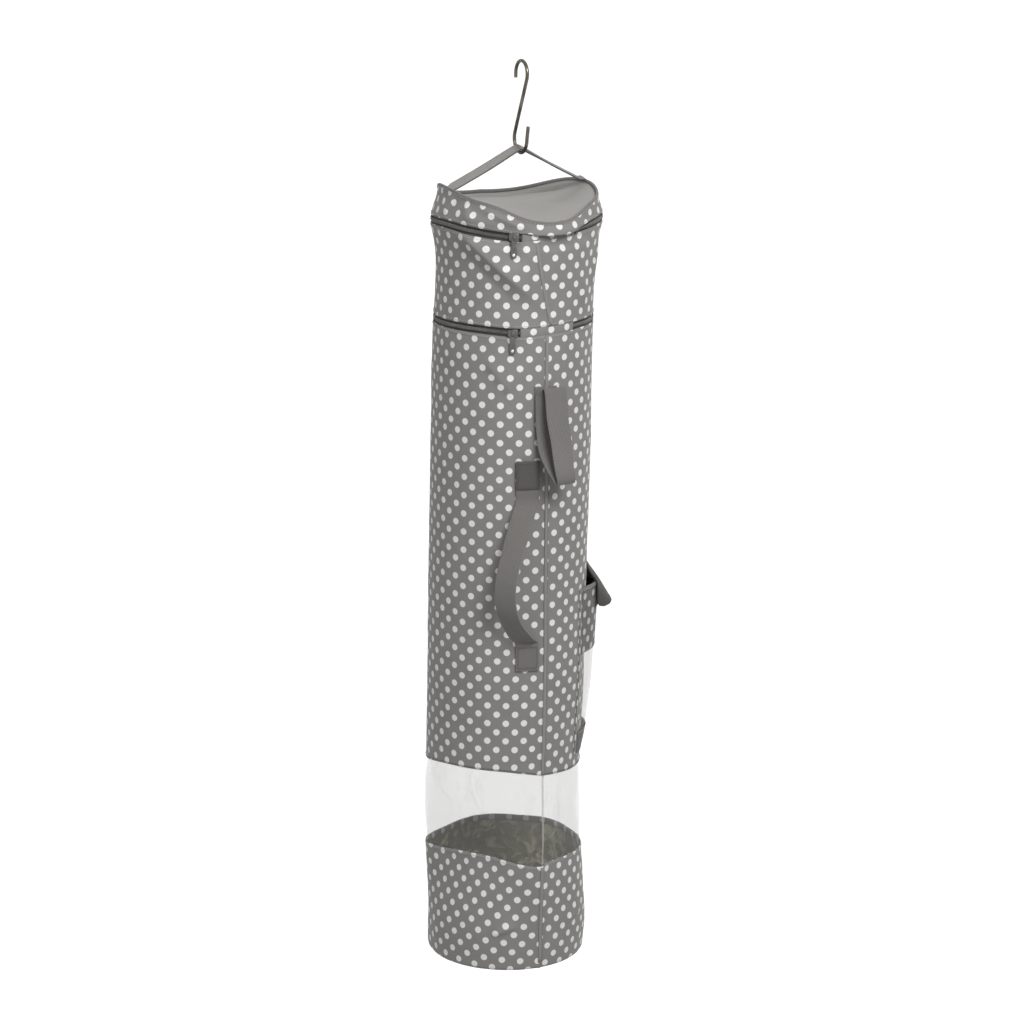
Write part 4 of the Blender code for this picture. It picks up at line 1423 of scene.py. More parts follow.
@dataclass(frozen=True)
class PullTab:
    """Flat pull tab with a round hole near its tip and a window for the slider's bridge."""

    prefix: str
    body: Body
    height: float
    angle: float = slider_angle
    pivot_radius: float = 0.1036
    length: float = 0.026
    root_width: float = 0.0060
    tip_width: float = 0.0078
    thickness: float = 0.0012
    hole_radius: float = 0.0017
    hole_rise: float = 0.0042
    window: tuple = (0.0013, 0.0016)

    def ring_plate(
        self, low: float, high: float, widths: tuple, hole: float, hole_size: tuple, blunt: float
    ) -> Place:
        """One half of the tab: a plate round a hole, as a function of two shares.

        Args:
            low: its lower end.
            high: its upper end.
            widths: its width at the lower and the upper end.
            hole: height of the hole's middle.
            hole_size: half the hole's width and height.
            blunt: how square its corners are.

        Returns:
            A function that gives a point for two shares.
        """

        def place(u: float, v: float) -> Vector:
            """Point between the hole's edge and the plate's edge."""
            turn = -2 * math.pi * u
            cosine, sine = math.cos(turn), math.sin(turn)
            square = (abs(cosine) ** blunt + abs(sine) ** blunt) ** (-1 / blunt)
            middle = (low + high) / 2
            outer_z = middle + sine * square * (high - low) / 2
            share = (outer_z - low) / (high - low)
            outer_x = cosine * square * between(*widths, share) / 2
            inner_x, inner_z = cosine * hole_size[0], hole + sine * hole_size[1]
            return Vector((between(inner_x, outer_x, v), 0, between(inner_z, outer_z, v)))

        return place

    def build(self) -> None:
        """Make the tab from its two halves and hang it on its pivot."""
        tip, root = 0.0006 - self.length, 0.0006
        middle = -0.0085
        halves = (
            (tip, middle + 0.0004, (self.tip_width, self.root_width + 0.0006), tip + self.hole_rise,
             (self.hole_radius, self.hole_radius), 3.2),
            (middle - 0.0004, root, (self.root_width + 0.0006, self.root_width), -0.0022, self.window, 5.0),
        )
        shape = bmesh.new()
        for values in halves:
            pour(cloth_grid(self.ring_plate(*values), lambda u, v: (u, v), 40, 4, joined=True), shape)
        turn = Matrix.Rotation(self.angle, 4, "Z")
        shift = Matrix.Translation(Vector((0, -self.pivot_radius - self.thickness / 2, self.height)))
        bmesh.ops.transform(shape, matrix=turn @ shift, verts=shape.verts)
        tab = piece_from(
            shape, f"{self.prefix}_pull", [painted_zinc], Slot.ZIP_METAL,
            (f"{self.prefix}_pull_tab",), self.body,
        )
        thicken(tab, self.thickness)
        soften(tab, 0.0003)
        # A bright dome set in the hole: painted glint
        dimple = bmesh.new()
        at = Matrix.Translation((0, 0, tip + self.hole_rise)) @ Matrix.Diagonal((0.0019, 0.0007, 0.0019, 1))
        bmesh.ops.create_uvsphere(dimple, u_segments=16, v_segments=10, radius=1, matrix=at)
        bmesh.ops.transform(dimple, matrix=turn @ shift, verts=dimple.verts)
        piece_from(dimple, f"{self.prefix}_pull_dimple", [glint_zinc], Slot.ZIP_METAL, body=self.body)


@dataclass(frozen=True)
class Lid:
    """Lid above the upper zip: short dotted wall, bound rim, and a panel that sags between its sides."""

    binding_height: float = 0.0046
    binding_half: float = 0.0016
    panel_drop: float = 0.0042
    panel_centre: float = upper_zip + 0.0275

    def rim_radius(self, degrees: float) -> float:
        """Middle of the binding's thickness."""
        return girth.radius(degrees, rim_line(degrees) - 0.004) - cloth / 2

    def build_binding(self) -> None:
        """Rounded tape folded over the rim, slightly uneven, its joint at the front."""

        def place(u: float, v: float) -> Vector:
            """Point of the binding's outside, round its section."""
            degrees = 360 * u
            turn = 2 * math.pi * v
            angle = math.radians(degrees)
            sway = noise.noise(Vector((math.sin(angle) * 4, math.cos(angle) * 4, 0)))
            half_height = self.binding_height / 2 + 0.0002 * sway
            joint = 0.0007 * hump(turn_of(degrees - 7), 1.6)
            across = math.copysign(abs(math.cos(turn)) ** 0.8, math.cos(turn)) * (self.binding_half + joint)
            up = math.copysign(abs(math.sin(turn)) ** 0.8, math.sin(turn)) * (half_height + joint)
            height = rim_line(degrees) - half_height + up
            return on_ring(self.rim_radius(degrees) + across, angle, height)

        shape = cloth_grid(place, lambda u, v: (0.64 * u, 0.014 * v), 190, 16, joined=True)
        piece_from(shape, "rim_binding_tape", [binding_tape], Slot.TRIM, ("rim_binding",), Body.LID)
        row = ring_path(lambda degrees: rim_line(degrees) - 0.0034, self.binding_half - 0.0002)
        sew_rows("rim_stitches", [row], Body.LID, Slot.TRIM, thread)

    def panel_height(self, share: float, degrees: float) -> float:
        """Top of the panel, sagging from the rim to its middle.

        Args:
            share: how far out, from 0 in the middle to 1 at the rim.
            degrees: angle from the front.

        Returns:
            The height in metres.
        """
        edge = rim_line(degrees) - self.panel_drop
        angle = math.radians(degrees)
        room = Vector((math.sin(angle), math.cos(angle), 0)) * share * 2.4
        crumple = noise.noise(room) * 0.0016 * (1 - share ** 4)
        back = smooth((abs(turn_of(degrees)) - 95) / 40)
        valley = 0.0110 * back * hump(share - 0.85, 0.065)
        return between(self.panel_centre, edge, share ** 2.2) + crumple - valley

    def build_panel(self) -> None:
        """Plain cloth top of the lid."""

        def place(u: float, v: float) -> Vector:
            """Point of the panel's top face."""
            degrees = 360 * u
            share = 1 - v
            radius = (self.rim_radius(degrees) - self.binding_half + 0.0003) * share
            return on_ring(radius, math.radians(degrees), self.panel_height(share, degrees))

        def flat(u: float, v: float) -> tuple:
            """Flat coordinates straight across the panel."""
            return place(u, v).x, place(u, v).y

        shape = cloth_grid(place, flat, 144, 30, joined=True)
        panel = piece_from(
            shape, "lid_panel_cloth", [panel_cloth, backing], Slot.PLAIN, ("lid_panel",), Body.LID,
        )
        thicken(panel, 0.0010, lined=True)

    def build(self) -> None:
        """Make the lid's wall, binding and panel."""
        Wall(
            "lid_wall_cloth", Body.LID, ("lid_skirt",),
            lambda degrees: upper_zip_line(degrees) + zip_gap - 0.0043 * hump(turn_of(degrees) - 4, 18, 4),
            lambda degrees: rim_line(degrees) - 0.0035,
            lambda height: 176.0, lid_canvas, 18,
        ).build()
        self.build_binding()
        self.build_panel()


@dataclass(frozen=True)
class HangStrap:
    """Webbing sewn to both sides of the rim, bent over the hook and curled into its crook."""

    rise: float = 0.0478
    lean: float = math.radians(14)
    foot_radius: float = 0.0885
    foot_height: float = 0.990
    bend: float = 0.002
    curl_reach: float = 0.030
    crook: float = 0.0150 - lay_gap - webbing_thickness / 2
    width: float = 0.0182
    end_width: float = 0.012
    right_rise: float = 0.0058
    end_length: float = 0.0066

    def over_hook(self, reach: float, across_share: float) -> Vector:
        """Point of the free strap; reach runs from -1 at the left foot to 1 at the right one."""
        slope = self.rise / (math.hypot(self.foot_radius, self.bend) - self.bend)
        x = self.foot_radius * reach * abs(reach) ** 0.8
        drop = slope * (math.hypot(x, self.bend) - self.bend)
        from_foot = (self.foot_radius - abs(x)) * math.hypot(1, slope)
        width = min(self.width, self.end_width + 1.6 * from_foot)
        bend = hump(x, self.curl_reach) / self.crook
        across = width * (across_share - 0.5)
        upright = Vector((
            x, math.sin(bend * across) / bend,
            self.rise - webbing_thickness / 2 - drop + (1 - math.cos(bend * across)) / bend,
        ))
        right = max(0.0, x)
        raised = Vector((0.02 * right, 0, self.foot_height + self.right_rise * right / self.foot_radius))
        return Matrix.Rotation(self.lean, 3, "X") @ upright + raised

    def place(self, u: float, v: float) -> Vector:
        """Point of the strap's middle, with the sewn ends at both ends of the first share."""
        end_share = 0.05
        if end_share <= u <= 1 - end_share:
            return self.over_hook(2 * (u - end_share) / (1 - 2 * end_share) - 1, v)
        side = -1 if u < 0.5 else 1
        out = (end_share - min(u, 1 - u)) / end_share
        foot = self.over_hook(side, v)
        return foot + Vector((side * self.end_length * out, 0, 0.0006 * math.sin(math.pi * out)))

    def build(self) -> None:
        """Make the strap."""
        shape = cloth_grid(self.place, lambda u, v: (v * self.width, u * 0.22), 110, 8)
        strap = piece_from(
            shape, "hang_strap_webbing", [strap_webbing], Slot.WEBBING,
            ("hang_strap", "strap_end_left", "strap_end_right"),
        )
        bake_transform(strap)
        thicken(strap, webbing_thickness, offset=0)
        # The strap's edges take the darker webbing: painted shade
        strap.data.materials.append(darker_webbing_and_painted_edge_shade.material())
        strap.modifiers["thickness"].material_offset_rim = 1


@dataclass(frozen=True)
class WireHook:
    """Open hook of plated wire in the fore-and-aft plane, a crook at each end."""

    wire: float = 0.00225
    upper: float = 0.01575
    lower: float = 0.01725
    height: float = 0.1167
    back_drop: float = 0.006
    tip_rise: float = 0.0165
    tip_flare: float = 0.0030
    centre: tuple = (0.0, -0.014685, 1.048897)

    def route(self) -> list:
        """The wire's middle line from its back end to its tip, as pairs of distance forward and height."""
        apart = self.height - self.upper - self.lower - 2 * self.wire
        slant = math.degrees(math.asin((self.upper + self.lower) / apart))
        points = [
            (-self.upper - 0.0002, apart - self.back_drop), (-self.upper, apart - 0.5 * self.back_drop),
        ]
        for step in range(29):
            turn = math.radians(180 - (180 + slant) * step / 28)
            points.append((self.upper * math.cos(turn), apart + self.upper * math.sin(turn)))
        first = points[-1]
        turn = math.radians(180 - slant)
        second = (self.lower * math.cos(turn), self.lower * math.sin(turn))
        points += [
            (between(first[0], second[0], step / 6), between(first[1], second[1], step / 6))
            for step in range(1, 6)
        ]
        for step in range(29):
            turn = math.radians(180 - slant + (180 + slant) * step / 28)
            points.append((self.lower * math.cos(turn), self.lower * math.sin(turn)))
        points += [
            (self.lower + self.tip_flare * share, self.tip_rise * share) for share in (0.25, 0.5, 0.75, 1.0)
        ]
        return points

    def build(self) -> None:
        """Sweep a ring of points along the route and round both ends."""
        points = [Vector((0, -forward, up)) + Vector(self.centre) for forward, up in self.route()]
        wire = bmesh.new()
        circle = bmesh.ops.create_circle(wire, segments=16, radius=self.wire)
        rims = list(wire.edges)
        previous = Matrix.Identity(4)
        ring = circle["verts"]
        for number, point in enumerate(points):
            ahead = points[min(number + 1, len(points) - 1)] - points[max(number - 1, 0)]
            side = Vector((1, 0, 0))
            up = ahead.normalized().cross(side)
            here = Matrix((side, up, ahead.normalized())).transposed().to_4x4()
            here.translation = point
            if number:
                grown = bmesh.ops.extrude_edge_only(wire, edges=rims)["geom"]
                ring = [item for item in grown if isinstance(item, bmesh.types.BMVert)]
                rims = [item for item in grown if isinstance(item, bmesh.types.BMEdge)]
            bmesh.ops.transform(wire, matrix=here @ previous.inverted(), verts=ring)
            previous = here
        ends = [edge for edge in wire.edges if edge.is_boundary]
        bmesh.ops.holes_fill(wire, edges=ends, sides=0)
        bmesh.ops.recalc_face_normals(wire, faces=wire.faces)
        hook = piece_from(wire, "wire_hook", [plated_wire_painted_dark], Slot.WIRE, ("s_hook",), Body.HOOK)
        soften(hook, 0.0009, 4)


@dataclass(frozen=True)
class CarryHandle:
    """One length of webbing, sewn flat to the wall at both ends and bowed out between them."""

    angle: float = math.radians(-16)
    low: float = 0.3939
    low_tab: float = 0.0337
    high: float = 0.6623
    high_tab: float = 0.0363
    bow: float = 0.055
    lean: float = math.radians(-40)
    sag: float = 1.45
    twist_reach: float = 0.040
    width: float = 0.029
    stand_off: float = lay_gap + webbing_thickness / 2

    def out_at(self, height: float) -> float:
        """How far the webbing stands off the wall at a height."""
        low, high = self.low + self.low_tab, self.high - self.high_tab
        if not low < height < high:
            return 0.0
        share = (height - low) / (high - low)
        return self.bow * math.sin(math.pi * (1 - share) ** self.sag)

    def angle_at(self, height: float) -> float:
        """Where the webbing's middle lies: it slants a little to the right as it falls."""
        share = (self.high - height) / (self.high - self.low)
        return self.angle + math.radians(1.2 + 1.8 * share)

    def place(self, u: float, v: float) -> Vector:
        """Point of the webbing's middle."""
        height = between(self.low, self.high, v)
        out = self.out_at(height)
        free = smooth(out / 0.012)
        angle = self.angle_at(height)
        centre_radius = girth.radius(math.degrees(angle), height) + self.stand_off
        centre = on_ring(centre_radius, angle, height) + on_ring(out, self.angle + self.lean, 0)
        facing = angle + self.lean * min(1.0, out / self.twist_reach)
        bowed = centre + on_ring(self.width * (u - 0.5), facing + math.pi / 2, 0)
        aside = angle + self.width * (u - 0.5) / tube_radius
        lift = 0.0011 * smooth(1 - abs(out) / 0.004)
        return on_cloth(math.degrees(aside), height, self.stand_off + lift).lerp(bowed, free)

    def tab_stitches(self, low: float, high: float) -> list:
        """Box of stitches that holds a tab, and the thicker turned end's row."""
        half = self.width / 2 - 0.0028

        def line(first: tuple, last: tuple) -> Path:
            """Path between two points of the tab, as distance aside and height."""

            def path(share: float) -> tuple:
                """Point and outward direction."""
                height = between(first[1], last[1], share)
                angle = self.angle_at(height) + between(first[0], last[0], share) / tube_radius
                lift = webbing_thickness + lay_gap + 0.0020
                return on_cloth(math.degrees(angle), height, lift), on_ring(1, angle, 0)

            return path

        corners = [(-half, low), (half, low), (half, high), (-half, high)]
        return [line(a, b) for a, b in zip(corners, corners[1:] + corners[:1])]

    def build(self) -> None:
        """Make the webbing, and the stitches at both ends."""
        shape = cloth_grid(self.place, lambda u, v: (u * self.width, v * 0.31), 8, 150)
        handle = piece_from(
            shape, "carry_handle_webbing", [webbing], Slot.WEBBING,
            ("handle_top_tab", "handle_bottom_tab", "handle_bow"),
        )
        line = tube_radius + self.stand_off
        on_ring(line + 0.0035, self.angle, 0.52)
        on_ring(line + 0.011, self.angle, 0.52)
        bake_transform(handle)
        thicken(handle, webbing_thickness, offset=0)
        soften(handle, 0.0005)

        def fold(u: float, v: float) -> Vector:
            """Point of the folded end's outer face, which lies over the top tab."""
            height = self.high - self.high_tab * (1 - v)
            angle = self.angle_at(height) + (self.width + 0.0002) * (u - 0.5) / tube_radius
            return on_cloth(math.degrees(angle), height, webbing_thickness + 0.0021)

        shape = cloth_grid(fold, lambda u, v: (u * self.width, v * self.high_tab), 8, 14)
        end = piece_from(shape, "handle_folded_end", [darker_webbing_and_painted_edge_shade], Slot.WEBBING, body=Body.TUBE)
        thicken(end, 0.0011)
        rows = self.tab_stitches(self.high - self.high_tab + 0.003, self.high - 0.004)
        rows += self.tab_stitches(self.low + 0.004, self.low + self.low_tab - 0.003)
        sew_rows("handle_stitches", rows, Body.TUBE, Slot.WEBBING, dark_thread)


@dataclass(frozen=True)
class GrabLoop:
    """Loop of webbing that hangs from its sewn top and twists as it falls."""

    angle: float = math.radians(-2.5)
    top: float = 0.7547
    tab_height: float = 0.040
    length: float = 0.117
    reach: float = 0.038
    twist: float = math.radians(18)
    drift: float = 0.0072
    width: float = 0.029
    shares: tuple = (
        (0.00, 0.09), (0.00, 0.22), (0.02, 0.36), (0.08, 0.54), (0.20, 0.69), (0.50, 0.83),
        (0.80, 0.935), (0.97, 0.985), (1.02, 0.93), (0.91, 0.82), (0.68, 0.61),
        (0.50, 0.37), (0.37, 0.16), (0.27, 0.045), (0.12, 0.015),
    )

    def along(self, share: float) -> Vector:
        """Smooth closed side view of the loop, as shares of its reach and length."""
        place = share * len(self.shares)
        first, t = int(place) % len(self.shares), place - int(place)
        a, b, c, d = (Vector(self.shares[(first + step) % len(self.shares)]) for step in (-1, 0, 1, 2))
        return (
            b + (c - a) * (t / 2) + (a - b * 2.5 + c * 2 - d / 2) * t ** 2
            + (b * 1.5 - a / 2 - c * 1.5 + d / 2) * t ** 3
        )

    def place(self, u: float, v: float) -> Vector:
        """Point of the webbing's middle."""
        out_share, down_share = self.along(v)
        facing = self.angle + self.twist * min(1.0, max(0.0, down_share - 0.3) / 0.7)
        line = tube_radius + lay_gap + webbing_thickness + 0.0016
        centre = on_ring(line, self.angle, self.top - self.length * down_share)
        centre += on_ring(lay_gap + webbing_thickness / 2 + self.reach * out_share, facing, 0)
        drift = self.drift * smooth((v - 0.5) / 0.12) * smooth((1 - v) / 0.07)
        drift *= 1 - 0.9 * smooth((down_share - 0.5) / 0.45)
        centre += on_ring(drift, self.angle + math.pi / 2, 0)
        cup = 0.0006 * (2 * u - 1) ** 2
        return centre + on_ring(self.width * (u - 0.5), facing + math.pi / 2, 0) - on_ring(cup, facing, 0)

    def build(self) -> None:
        """Make the sewn tab and the hanging loop."""

        def tab(u: float, v: float) -> Vector:
            """Point of the tab's outer face, over the seam's lap."""
            angle = self.angle + self.width * (u - 0.5) / tube_radius
            height = self.top - self.tab_height * (1 - v)
            lap = lap_rise * smooth((-1.0 - math.degrees(angle)) / -2.0)
            return on_cloth(math.degrees(angle), height, lap + webbing_thickness)

        shape = cloth_grid(tab, lambda u, v: (u * self.width, v * self.tab_height), 10, 14)
        thicken(
            piece_from(shape, "loop_tab_webbing", [webbing], Slot.WEBBING, ("loop_tab",), Body.TUBE),
            webbing_thickness,
        )
        shape = cloth_grid(self.place, lambda u, v: (u * self.width, v * 0.25), 8, 180, joined=True)
        loop = piece_from(shape, "grab_loop_webbing", [webbing], Slot.WEBBING, ("grab_loop",), Body.LOOP)
        thicken(loop, webbing_thickness, offset=0)
        soften(loop, 0.0005)


@dataclass(frozen=True)
class SidePocket:
    """Flat pocket on the right side: base and dotted band darkened as painted shade, clear window, bindings
    and pad.
    """

    angle: float = pocket_angle
    width: float = 0.150
    low: float = 0.266
    base: float = 0.029
    window: float = 0.104
    band: float = 0.087
    bulge: float = 0.013
    extra: float = 0.0035
    binding_width: float = 0.008
    left_tuck: float = 0.007
    profile: Edge = through_points([
        (-0.05, 0.0), (0.0, 0.0), (0.08, 0.26), (0.23, 0.52), (0.6, 0.88), (1.0, 1.0), (1.1, 1.0),
    ], False)

    def out(self, angle: float, height: float) -> float:
        """Radius of the pocket's outer face, which stands off the wall in its middle."""
        up = (height - self.low) / (self.base + self.window + self.band)
        side = math.cos(math.pi * tube_radius / self.width * (angle - self.angle)) ** 2
        ripple = 0.0009 * side * noise.noise(Vector((angle * 3, height * 18, 0.5)))
        wall = girth.radius(math.degrees(angle), height) + 0.0002
        return wall + lay_gap + cloth + (self.bulge + self.extra) * self.profile(up) * side + ripple

    def front(
        self, name: str, node: str, finishes: Sequence[Finish], slot: Slot, low: float, high: float,
        thickness: float, lift: float = 0.0, width: float = 0.150, rows: int = 14,
    ) -> bpy.types.Object:
        """A piece of the pocket's front.

        Args:
            name: the piece's name.
            node: the CAD node it stands for.
            finishes: its materials.
            slot: the record's slot.
            low: its lower edge.
            high: its upper edge.
            thickness: its thickness.
            lift: how far it stands off the pocket's face.
            width: its width round the tube.
            rows: faces up the piece.

        Returns:
            The piece.
        """
        half = width / 2 / tube_radius
        tuck = self.left_tuck / tube_radius if width > 0.1 else 0.0

        def place(u: float, v: float) -> Vector:
            """Point of the outer face."""
            angle = self.angle + half * (2 * u - 1) + tuck * (1 - u)
            height = between(low, high, v)
            return on_ring(self.out(angle, height) + lift, angle, height)

        shape = cloth_grid(place, lambda u, v: (u * width, v * (high - low)), 48, rows)
        piece = piece_from(shape, name, finishes, slot, (node,), Body.TUBE)
        thicken(piece, thickness, lined=len(finishes) > 1)
        return piece

    def edge_row(self, side: int, aside: float) -> Path:
        """Path of stitches down a side binding."""

        def path(share: float) -> tuple:
            """Point and outward direction."""
            reach = self.width / 2 + aside - (self.left_tuck if side < 0 else 0)
            angle = self.angle + side * reach / tube_radius
            height = self.low + (self.base + self.window + self.band) * share
            return on_cloth(math.degrees(angle), height, lay_gap + cloth + 0.0006), on_ring(1, angle, 0)

        return path

    def face_row(self, height: float, lift: float) -> Path:
        """Path of stitches across the pocket's front at a height."""

        def path(share: float) -> tuple:
            """Point and outward direction."""
            angle = self.angle + (self.width / 2 / tube_radius) * (1.86 * share - 0.88)
            return on_ring(self.out(angle, height) + lift, angle, height), on_ring(1, angle, 0)

        return path

    def build(self) -> None:
        """Make the pocket from its base up."""
        base_top = self.low + self.base
        window_end = base_top + self.window
        mouth = window_end + self.band
        # The base is drawn as dark plain cloth: painted shade
        self.front(
            "pocket_base_cloth", "pocket_base", [shaded_pocket_base_cloth, backing], Slot.TRIM, self.low,
            base_top - 0.0002, 0.0010, rows=16,
        )
        self.front(
            "pocket_clear_window", "pocket_window", [vinyl], Slot.VINYL, base_top - 0.004,
            window_end + 0.004, 0.0005, -0.0007, rows=20,
        )
        # The band takes the darker print: painted shade
        self.front(
            "pocket_band_cloth", "pocket_band", [shaded_pocket_canvas, backing], Slot.DOTTED, window_end,
            mouth - 0.003, 0.0010, rows=20,
        )
        binding = self.front(
            "pocket_mouth_binding", "pocket_top_binding", [binding_tape], Slot.TRIM, mouth - 0.0045,
            mouth, 0.0022, 0.0007, rows=3,
        )
        soften(binding, 0.0007)
        for name, side in (("left", -1), ("right", 1)):
            narrow = 0.5 if side < 0 else 1.0
            inner = self.width / 2 + lay_gap - (self.left_tuck if side < 0 else 0.0)
            middle = self.angle + side * (inner + narrow * self.binding_width / 2) / tube_radius

            def place(u: float, v: float) -> Vector:
                """Point of the side binding's outer face."""
                angle = middle + narrow * self.binding_width * (u - 0.5) / tube_radius
                return on_cloth(math.degrees(angle), between(self.low, mouth, v), lay_gap + cloth)

            shape = cloth_grid(place, lambda u, v: (0.008 * u, 0.22 * v), 3, 60)
            side_tape = piece_from(
                shape, f"pocket_{name}_binding", [canvas if side < 0 else binding_tape], Slot.TRIM,
                (f"pocket_side_binding_{name}",), Body.TUBE,
            )
            thicken(side_tape, 0.0011)
        rows = [self.edge_row(-1, 0.0018), self.edge_row(1, 0.0018)]
        rows += [self.face_row(base_top - 0.002, 0.0002), self.face_row(window_end + 0.002, 0.0002)]
        rows += [self.face_row(mouth - 0.0036, 0.0009)]
        sew_rows("pocket_stitches", rows, Body.TUBE, Slot.TRIM, thread)
        self.front(
            "pocket_loop_pad", "pocket_fastener", [hooked_pad], Slot.TRIM, mouth - 0.034, mouth - 0.019,
            0.0012, lay_gap + 0.0012, 0.060, 6,
        )


@dataclass(frozen=True)
class PocketFlap:
    """Flap over the pocket's mouth, standing open, with its half of the fastener inside."""

    angle: float = pocket_angle
    top: float = 0.507
    length: float = 0.064
    width: float = 0.068
    thickness: float = 0.0020
    tilt: float = math.radians(34)
    hug: float = 0.0125
    corner: float = 0.015

    def point(self, u: float, down: float, lift: float, width: float, corner: float, end: float) -> Vector:
        """Point of the flap.

        Args:
            u: share across the flap.
            down: distance down it.
            lift: distance off its inner face.
            width: its full width.
            corner: radius of its lower corners.
            end: distance to its lower edge.

        Returns:
            The point.
        """
        past = max(0.0, corner - (end - down))
        half = width / 2 - corner + math.sqrt(max(0.0, corner ** 2 - past ** 2))
        angle = self.angle + half / tube_radius * (2 * u - 1)
        curl = 0.0012 * math.sin(math.pi * down / self.length)
        curl += 0.0006 * noise.noise(Vector((u * 3, down * 30, 0)))
        aside = 2 * (angle - self.angle) * tube_radius / self.width
        free = max(0.0, math.cos(math.pi / 2 * aside)) ** 0.8
        straight, hugging = down * math.sin(self.tilt), self.hug * smooth(down / 0.028)
        drop = between(0.97, math.cos(self.tilt), free)
        wall = girth.radius(math.degrees(angle), self.top)
        out = wall + lay_gap + between(hugging, straight, free) + (lift + curl) * math.cos(self.tilt)
        height = self.top - down * drop + (lift + curl) * math.sin(self.tilt)
        return on_ring(out, angle, height)

    def build(self) -> None:
        """Make the flap, its edge stitches and its pad."""
        outline = (self.width, self.corner, self.length)

        def place(u: float, v: float) -> Vector:
            """Point of the flap's outer face."""
            return self.point(u, self.length * (1 - v), self.thickness, *outline)

        def pad_place(u: float, v: float) -> Vector:
            """Point of the pad's outer face, under the flap."""
            return self.point(u, 0.043 + 0.015 * (1 - v), -lay_gap, 0.060, 0.0, 0.064)

        shape = cloth_grid(place, lambda u, v: (u * self.width, v * self.length), 36, 30)
        # Darkened cloth for the flap: painted shade
        flap = piece_from(shape, "pocket_flap_cloth", [shaded_flap_cloth], Slot.TRIM, ("pocket_flap",))
        on_ring(tube_radius, self.angle, self.top - 0.001)
        on_ring(tube_radius, self.angle, self.top - 0.016)
        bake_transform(flap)
        thicken(flap, self.thickness)
        soften(flap, 0.0007)
        shape = cloth_grid(pad_place, lambda u, v: (u * 0.06, v * 0.015), 12, 5)
        pad = piece_from(shape, "flap_hook_pad", [hooked_pad], Slot.TRIM, ("flap_fastener",), Body.FLAP)
        thicken(pad, 0.0012)

        def row(share: float) -> tuple:
            """Stitches along the flap's lower edge."""
            spot = self.point(0.12 + 0.76 * share, self.length - 0.004, self.thickness, *outline)
            return spot, on_ring(1, self.angle, 0.6).normalized()

        sew_rows("flap_stitches", [row], Body.FLAP, Slot.TRIM, dark_thread)


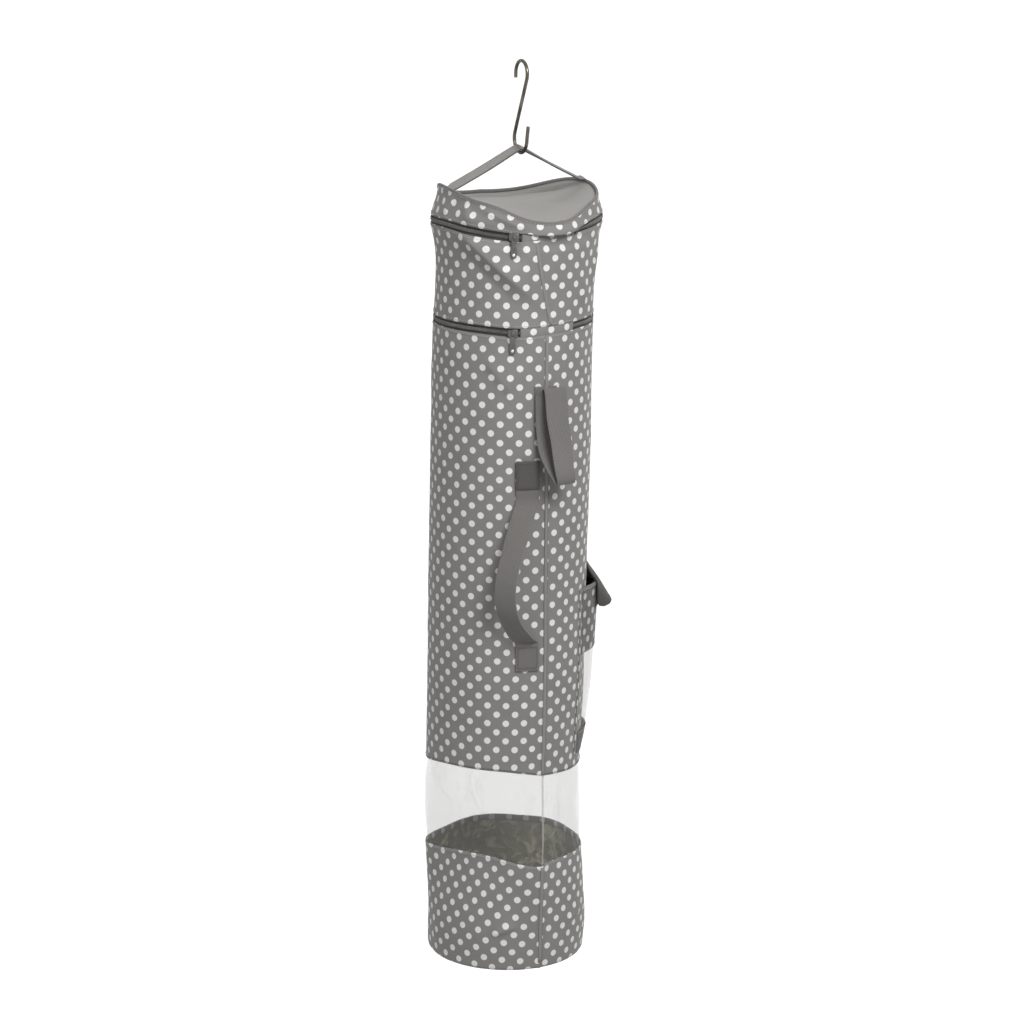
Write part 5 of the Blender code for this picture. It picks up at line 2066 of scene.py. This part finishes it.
@dataclass(frozen=True)
class Studio:
    """Pale floor, soft lamps and the camera at the photograph's place."""

    floor_height: float = -0.42
    floor_size: float = 90.0
    bearing: float = math.radians(26.5)
    distance: float = 3.6526
    camera_height: float = 1.418
    yaw: float = 0.0006
    pitch: float = 0.2269
    roll: float = 0.0136
    focal: float = 2953.3
    frame_width: float = 1024.0
    world_strength: float = 0.42
    key_power: float = 50.0
    fill_power: float = 5.0
    top_power: float = 4.0

    def white_to_the_eye(self, tree: bpy.types.NodeTree) -> bpy.types.Node:
        """1 for camera, glossy and transmitted rays, 0 for the light that falls on the object."""
        rays = add_node(tree, "LightPath", {}).outputs
        seen = rays["Is Camera Ray"]
        for kind in ("Is Glossy Ray", "Is Transmission Ray"):
            seen = add_node(tree, "Math", {0: seen, 1: rays[kind]}, operation="MAXIMUM")
        return seen

    def make_world(self) -> None:
        """Even light from all round, white where it is seen."""
        world = bpy.data.worlds.new("studio")
        bpy.context.scene.world = world
        world.use_nodes = True
        tree = world.node_tree
        level = add_node(
            tree, "MapRange", {"Value": self.white_to_the_eye(tree), "To Min": self.world_strength},
        )
        fill(tree, tree.nodes["Background"], {"Color": (1, 1, 1, 1), "Strength": level})

    def make_floor(self) -> None:
        """White floor that keeps the object's shadow and reads as white paper to the camera."""
        floor = bmesh.new()
        bmesh.ops.create_grid(
            floor, x_segments=2, y_segments=2, size=self.floor_size / 2,
            matrix=Matrix.Translation((0, 0, self.floor_height)),
        )
        mesh = bpy.data.meshes.new("studio_floor")
        floor.to_mesh(mesh)
        floor.free()
        paper = bpy.data.materials.new("white_paper_floor")
        paper.use_nodes = True
        tree = paper.node_tree
        glow = add_node(tree, "Math", {0: self.white_to_the_eye(tree), 1: 0.90}, operation="MULTIPLY")
        fill(tree, tree.nodes["Principled BSDF"], {
            "Base Color": linear("#A8A8A8"), "Roughness": 0.9, "Emission Color": (1, 1, 1, 1),
            "Emission Strength": glow,
        })
        mesh.materials.append(paper)
        put_in_scene("studio_floor", mesh)

    def make_lamp(self, name: str, place: tuple, aim: tuple, power: float, size: float) -> None:
        """Add a square softbox.

        Args:
            name: the lamp's name.
            place: where it stands.
            aim: the point it faces.
            power: its power in watts.
            size: the length of its side.
        """
        light = bpy.data.lights.new(name, "AREA")
        light.energy = power
        light.size = size
        lamp = put_in_scene(name, light)
        way = Vector(aim) - Vector(place)
        lamp.matrix_world = Matrix.Translation(place) @ way.to_track_quat("-Z", "Y").to_matrix().to_4x4()

    def make_camera(self) -> None:
        """Long lens a little above the bag's top, looking down and left of its front."""
        heading = self.bearing + self.yaw
        flat, down = math.cos(self.pitch), math.sin(self.pitch)
        forward = Vector((math.sin(heading) * flat, math.cos(heading) * flat, -down))
        right = Vector((math.cos(heading), -math.sin(heading), 0))
        up = right.cross(forward)
        level_right = right * math.cos(self.roll) + up * math.sin(self.roll)
        level_up = up * math.cos(self.roll) - right * math.sin(self.roll)
        lens = bpy.data.cameras.new("photograph_view")
        lens.sensor_width = 36.0
        lens.lens = lens.sensor_width * self.focal / self.frame_width
        lens.clip_end = 200.0
        camera = put_in_scene("photograph_view", lens)
        camera.matrix_world = Matrix((level_right, level_up, -forward)).transposed().to_4x4()
        camera.matrix_world.translation = (
            -self.distance * math.sin(self.bearing), -self.distance * math.cos(self.bearing),
            self.camera_height,
        )
        bpy.context.scene.camera = camera

    def build(self) -> None:
        """Set up floor, light and camera."""
        bpy.context.scene.view_settings.view_transform = "Standard"
        self.make_world()
        self.make_floor()
        self.make_camera()
        self.make_lamp("key_softbox", (-0.15, -2.15, 2.3), (0, 0, 0.7), self.key_power, 1.0)
        self.make_lamp("fill_softbox", (-2.8, -1.2, 1.0), (0, 0, 0.6), self.fill_power, 1.6)
        self.make_lamp("top_softbox", (0.4, 0.6, 2.6), (0, 0, 0.9), self.top_power, 1.2)


def main() -> None:
    """Build the organizer from its foot up, then its studio."""
    Studio().build()
    Foot().build()
    ClearWindow().build()
    Wall(
        "tube_wall_cloth", Body.TUBE, ("tube_wall",), window_top_line,
        lambda degrees: lower_zip_line(degrees) - zip_gap, tube_seam, canvas, 170,
    ).build()
    seam_lap("tube_seam_lap", Body.TUBE, tube_seam, 0.2535, 0.8175, 0.665)
    seam_tape("tube_seam_tape", Body.TUBE, ("tube_seam_binding",), tube_seam, 0.268, 0.812)
    window_row = ring_path(lambda degrees: window_top_line(degrees) + 0.0022, 0.0005, 4.0, 356.0)
    sew_rows("window_top_stitches", [window_row], Body.TUBE, Slot.DOTTED, dark_thread)
    Wall(
        "neck_wall_cloth", Body.NECK, ("neck_wall",), lambda degrees: lower_zip_line(degrees) + zip_gap,
        lambda degrees: upper_zip_line(degrees) - zip_gap + 0.0006 * hump(turn_of(degrees) - 2, 18, 4),
        neck_seam, neck_canvas, 60, 300,
    ).build()
    seam_lap("neck_seam_lap", Body.NECK, neck_seam, 0.8295, 0.930, stand=0.0001)
    seam_tape("neck_seam_tape", Body.NECK, ("neck_seam_binding",), neck_seam, 0.832, 0.928)
    Zip("lower", lower_zip_line, Body.TUBE, Body.NECK, "tube", "neck").build()
    Zip("upper", upper_zip_line, Body.NECK, Body.LID, "neck", "lid", rows_cross_hinge=False).build()
    Slider("lower", Body.LOWER_SLIDER, lower_zip).build()
    Slider("upper", Body.UPPER_SLIDER, upper_zip).build()
    PullTab("lower", Body.LOWER_PULL, lower_zip).build()
    PullTab("upper", Body.UPPER_PULL, upper_zip).build()
    Lid().build()
    HangStrap().build()
    WireHook().build()
    CarryHandle().build()
    GrabLoop().build()
    SidePocket().build()
    PocketFlap().build()


if __name__ == "__main__":
    main()
